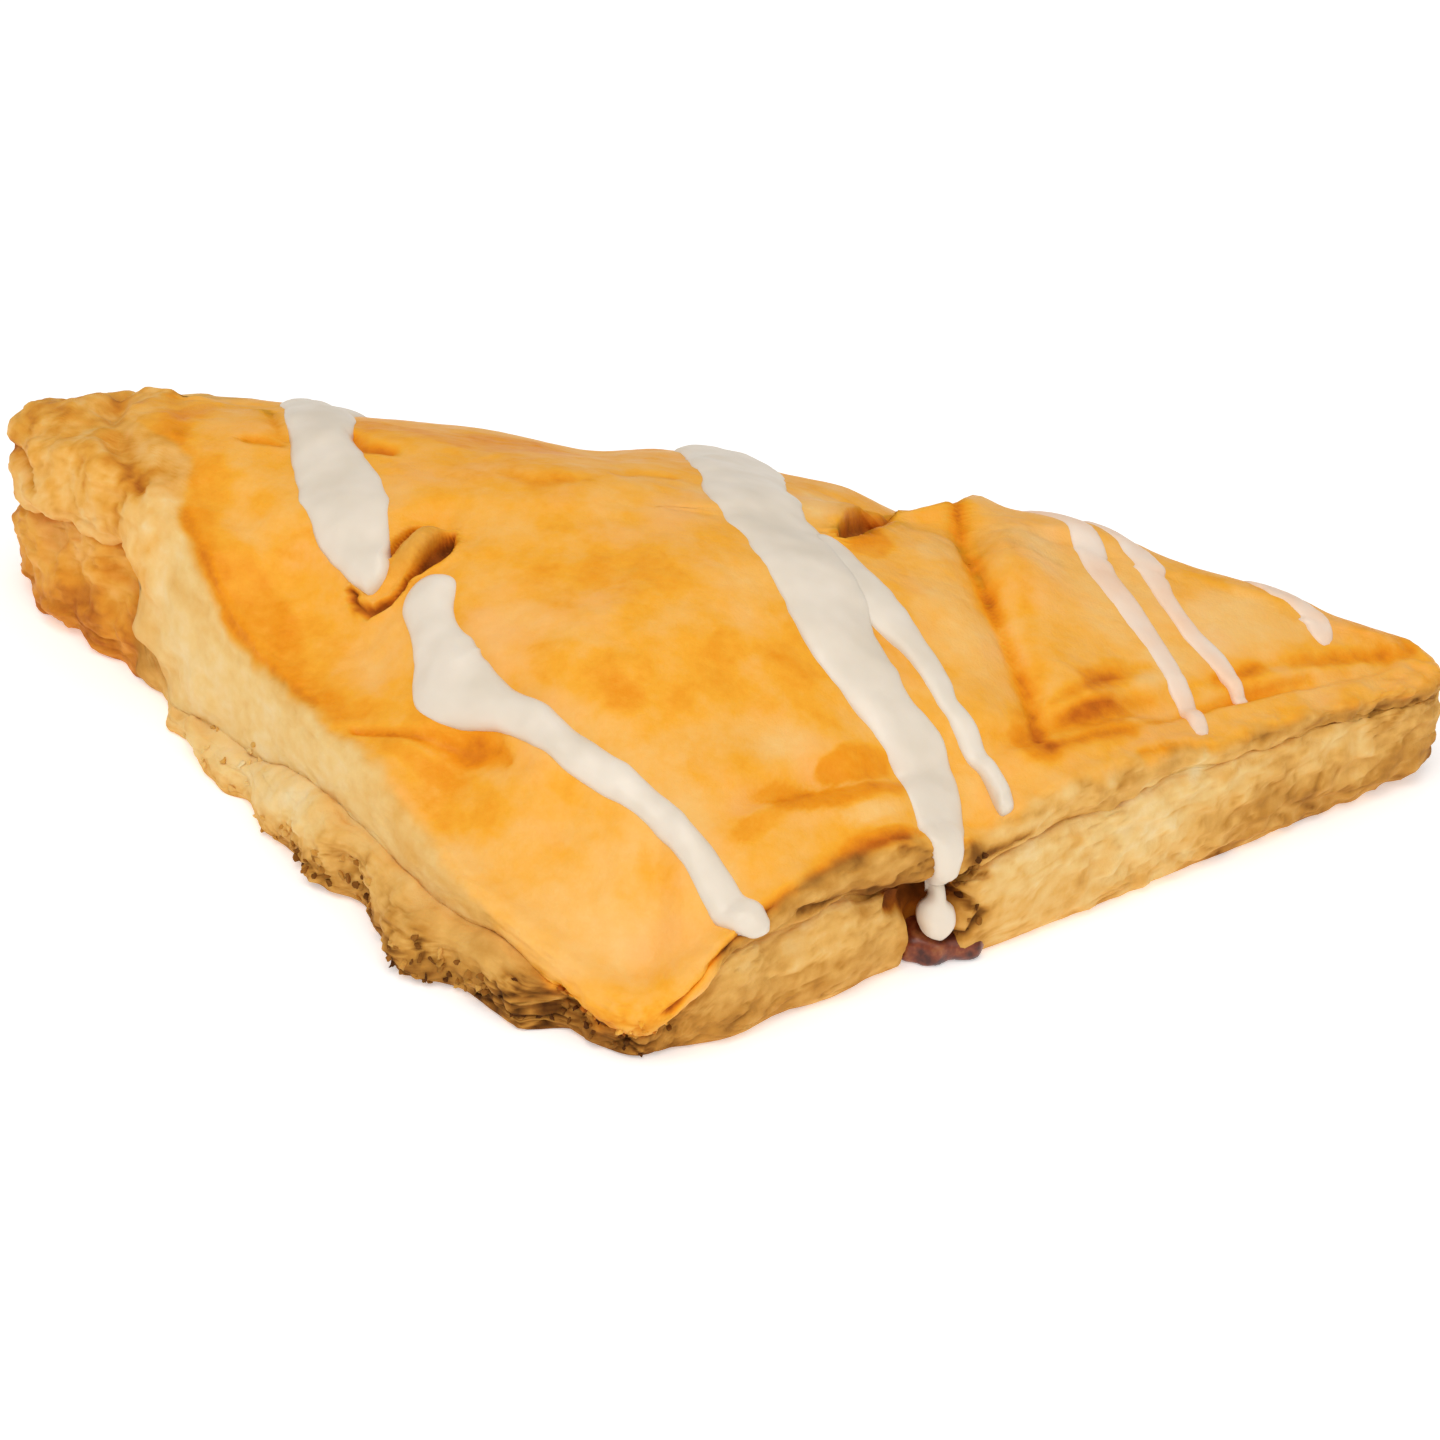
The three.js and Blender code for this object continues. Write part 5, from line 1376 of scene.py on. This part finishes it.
# ---------------------------------------------------------------- floor, light and camera
def make_floor():
    bpy.ops.mesh.primitive_plane_add(size=6)
    floor = bpy.context.object
    floor.name = "floor"
    floor.data.materials.append(floor_material())


def make_lamp(name, place, size, power, colour, target=(0, 0, 0.015)):
    data = bpy.data.lights.new(name, "AREA")
    data.shape = "DISK"
    data.size = size
    data.energy = power
    data.color = colour
    lamp = put_in_scene(name, data)
    lamp.location = place
    lamp.rotation_euler = (Vector(target) - Vector(place)).to_track_quat("-Z", "Y").to_euler()


def make_world():
    world = bpy.data.worlds.new("studio")
    bpy.context.scene.world = world
    world.use_nodes = True
    feed(world.node_tree, world.node_tree.nodes["Background"], {
        "Color": (1.0, 0.99, 0.97, 1), "Strength": 0.49})


# The view: turn, height and roll in degrees, lens, distance and rise in millimetres.
VIEW = {"turn": 4.333, "height": 30.346, "roll": 5.55, "lens": 111.43, "distance": 520.0, "rise": 1.163}
VIEW_TARGET = np.array([1.824, 24.969, 0.0]) + CENTRING


def make_camera():
    a, e, r = (math.radians(VIEW[key]) for key in ("turn", "height", "roll"))
    back = Vector((math.sin(a) * math.cos(e), -math.cos(a) * math.cos(e), math.sin(e)))
    right = Vector((math.cos(a), math.sin(a), 0))
    up = back.cross(right)
    right, up = right * math.cos(r) + up * math.sin(r), up * math.cos(r) - right * math.sin(r)
    place = Vector(VIEW_TARGET * MM) + back * VIEW["distance"] * MM + up * VIEW["rise"] * MM
    data = bpy.data.cameras.new("camera")
    data.sensor_width = 36
    data.lens = VIEW["lens"]
    data.clip_start = 0.01
    camera = put_in_scene("camera", data)
    matrix = camera.matrix_world.copy()
    for row in range(3):
        matrix[row] = (right[row], up[row], back[row], place[row])
    camera.matrix_world = matrix
    bpy.context.scene.camera = camera


make_floor()
make_world()
make_lamp("key", (-0.15, -0.5, 0.95), 0.9, 5.6, (1.0, 0.98, 0.95))
make_lamp("fill", (0.7, -0.6, 0.6), 0.8, 1.6, (1.0, 0.98, 0.96))
make_camera()
bpy.context.scene.view_settings.view_transform = "Standard"
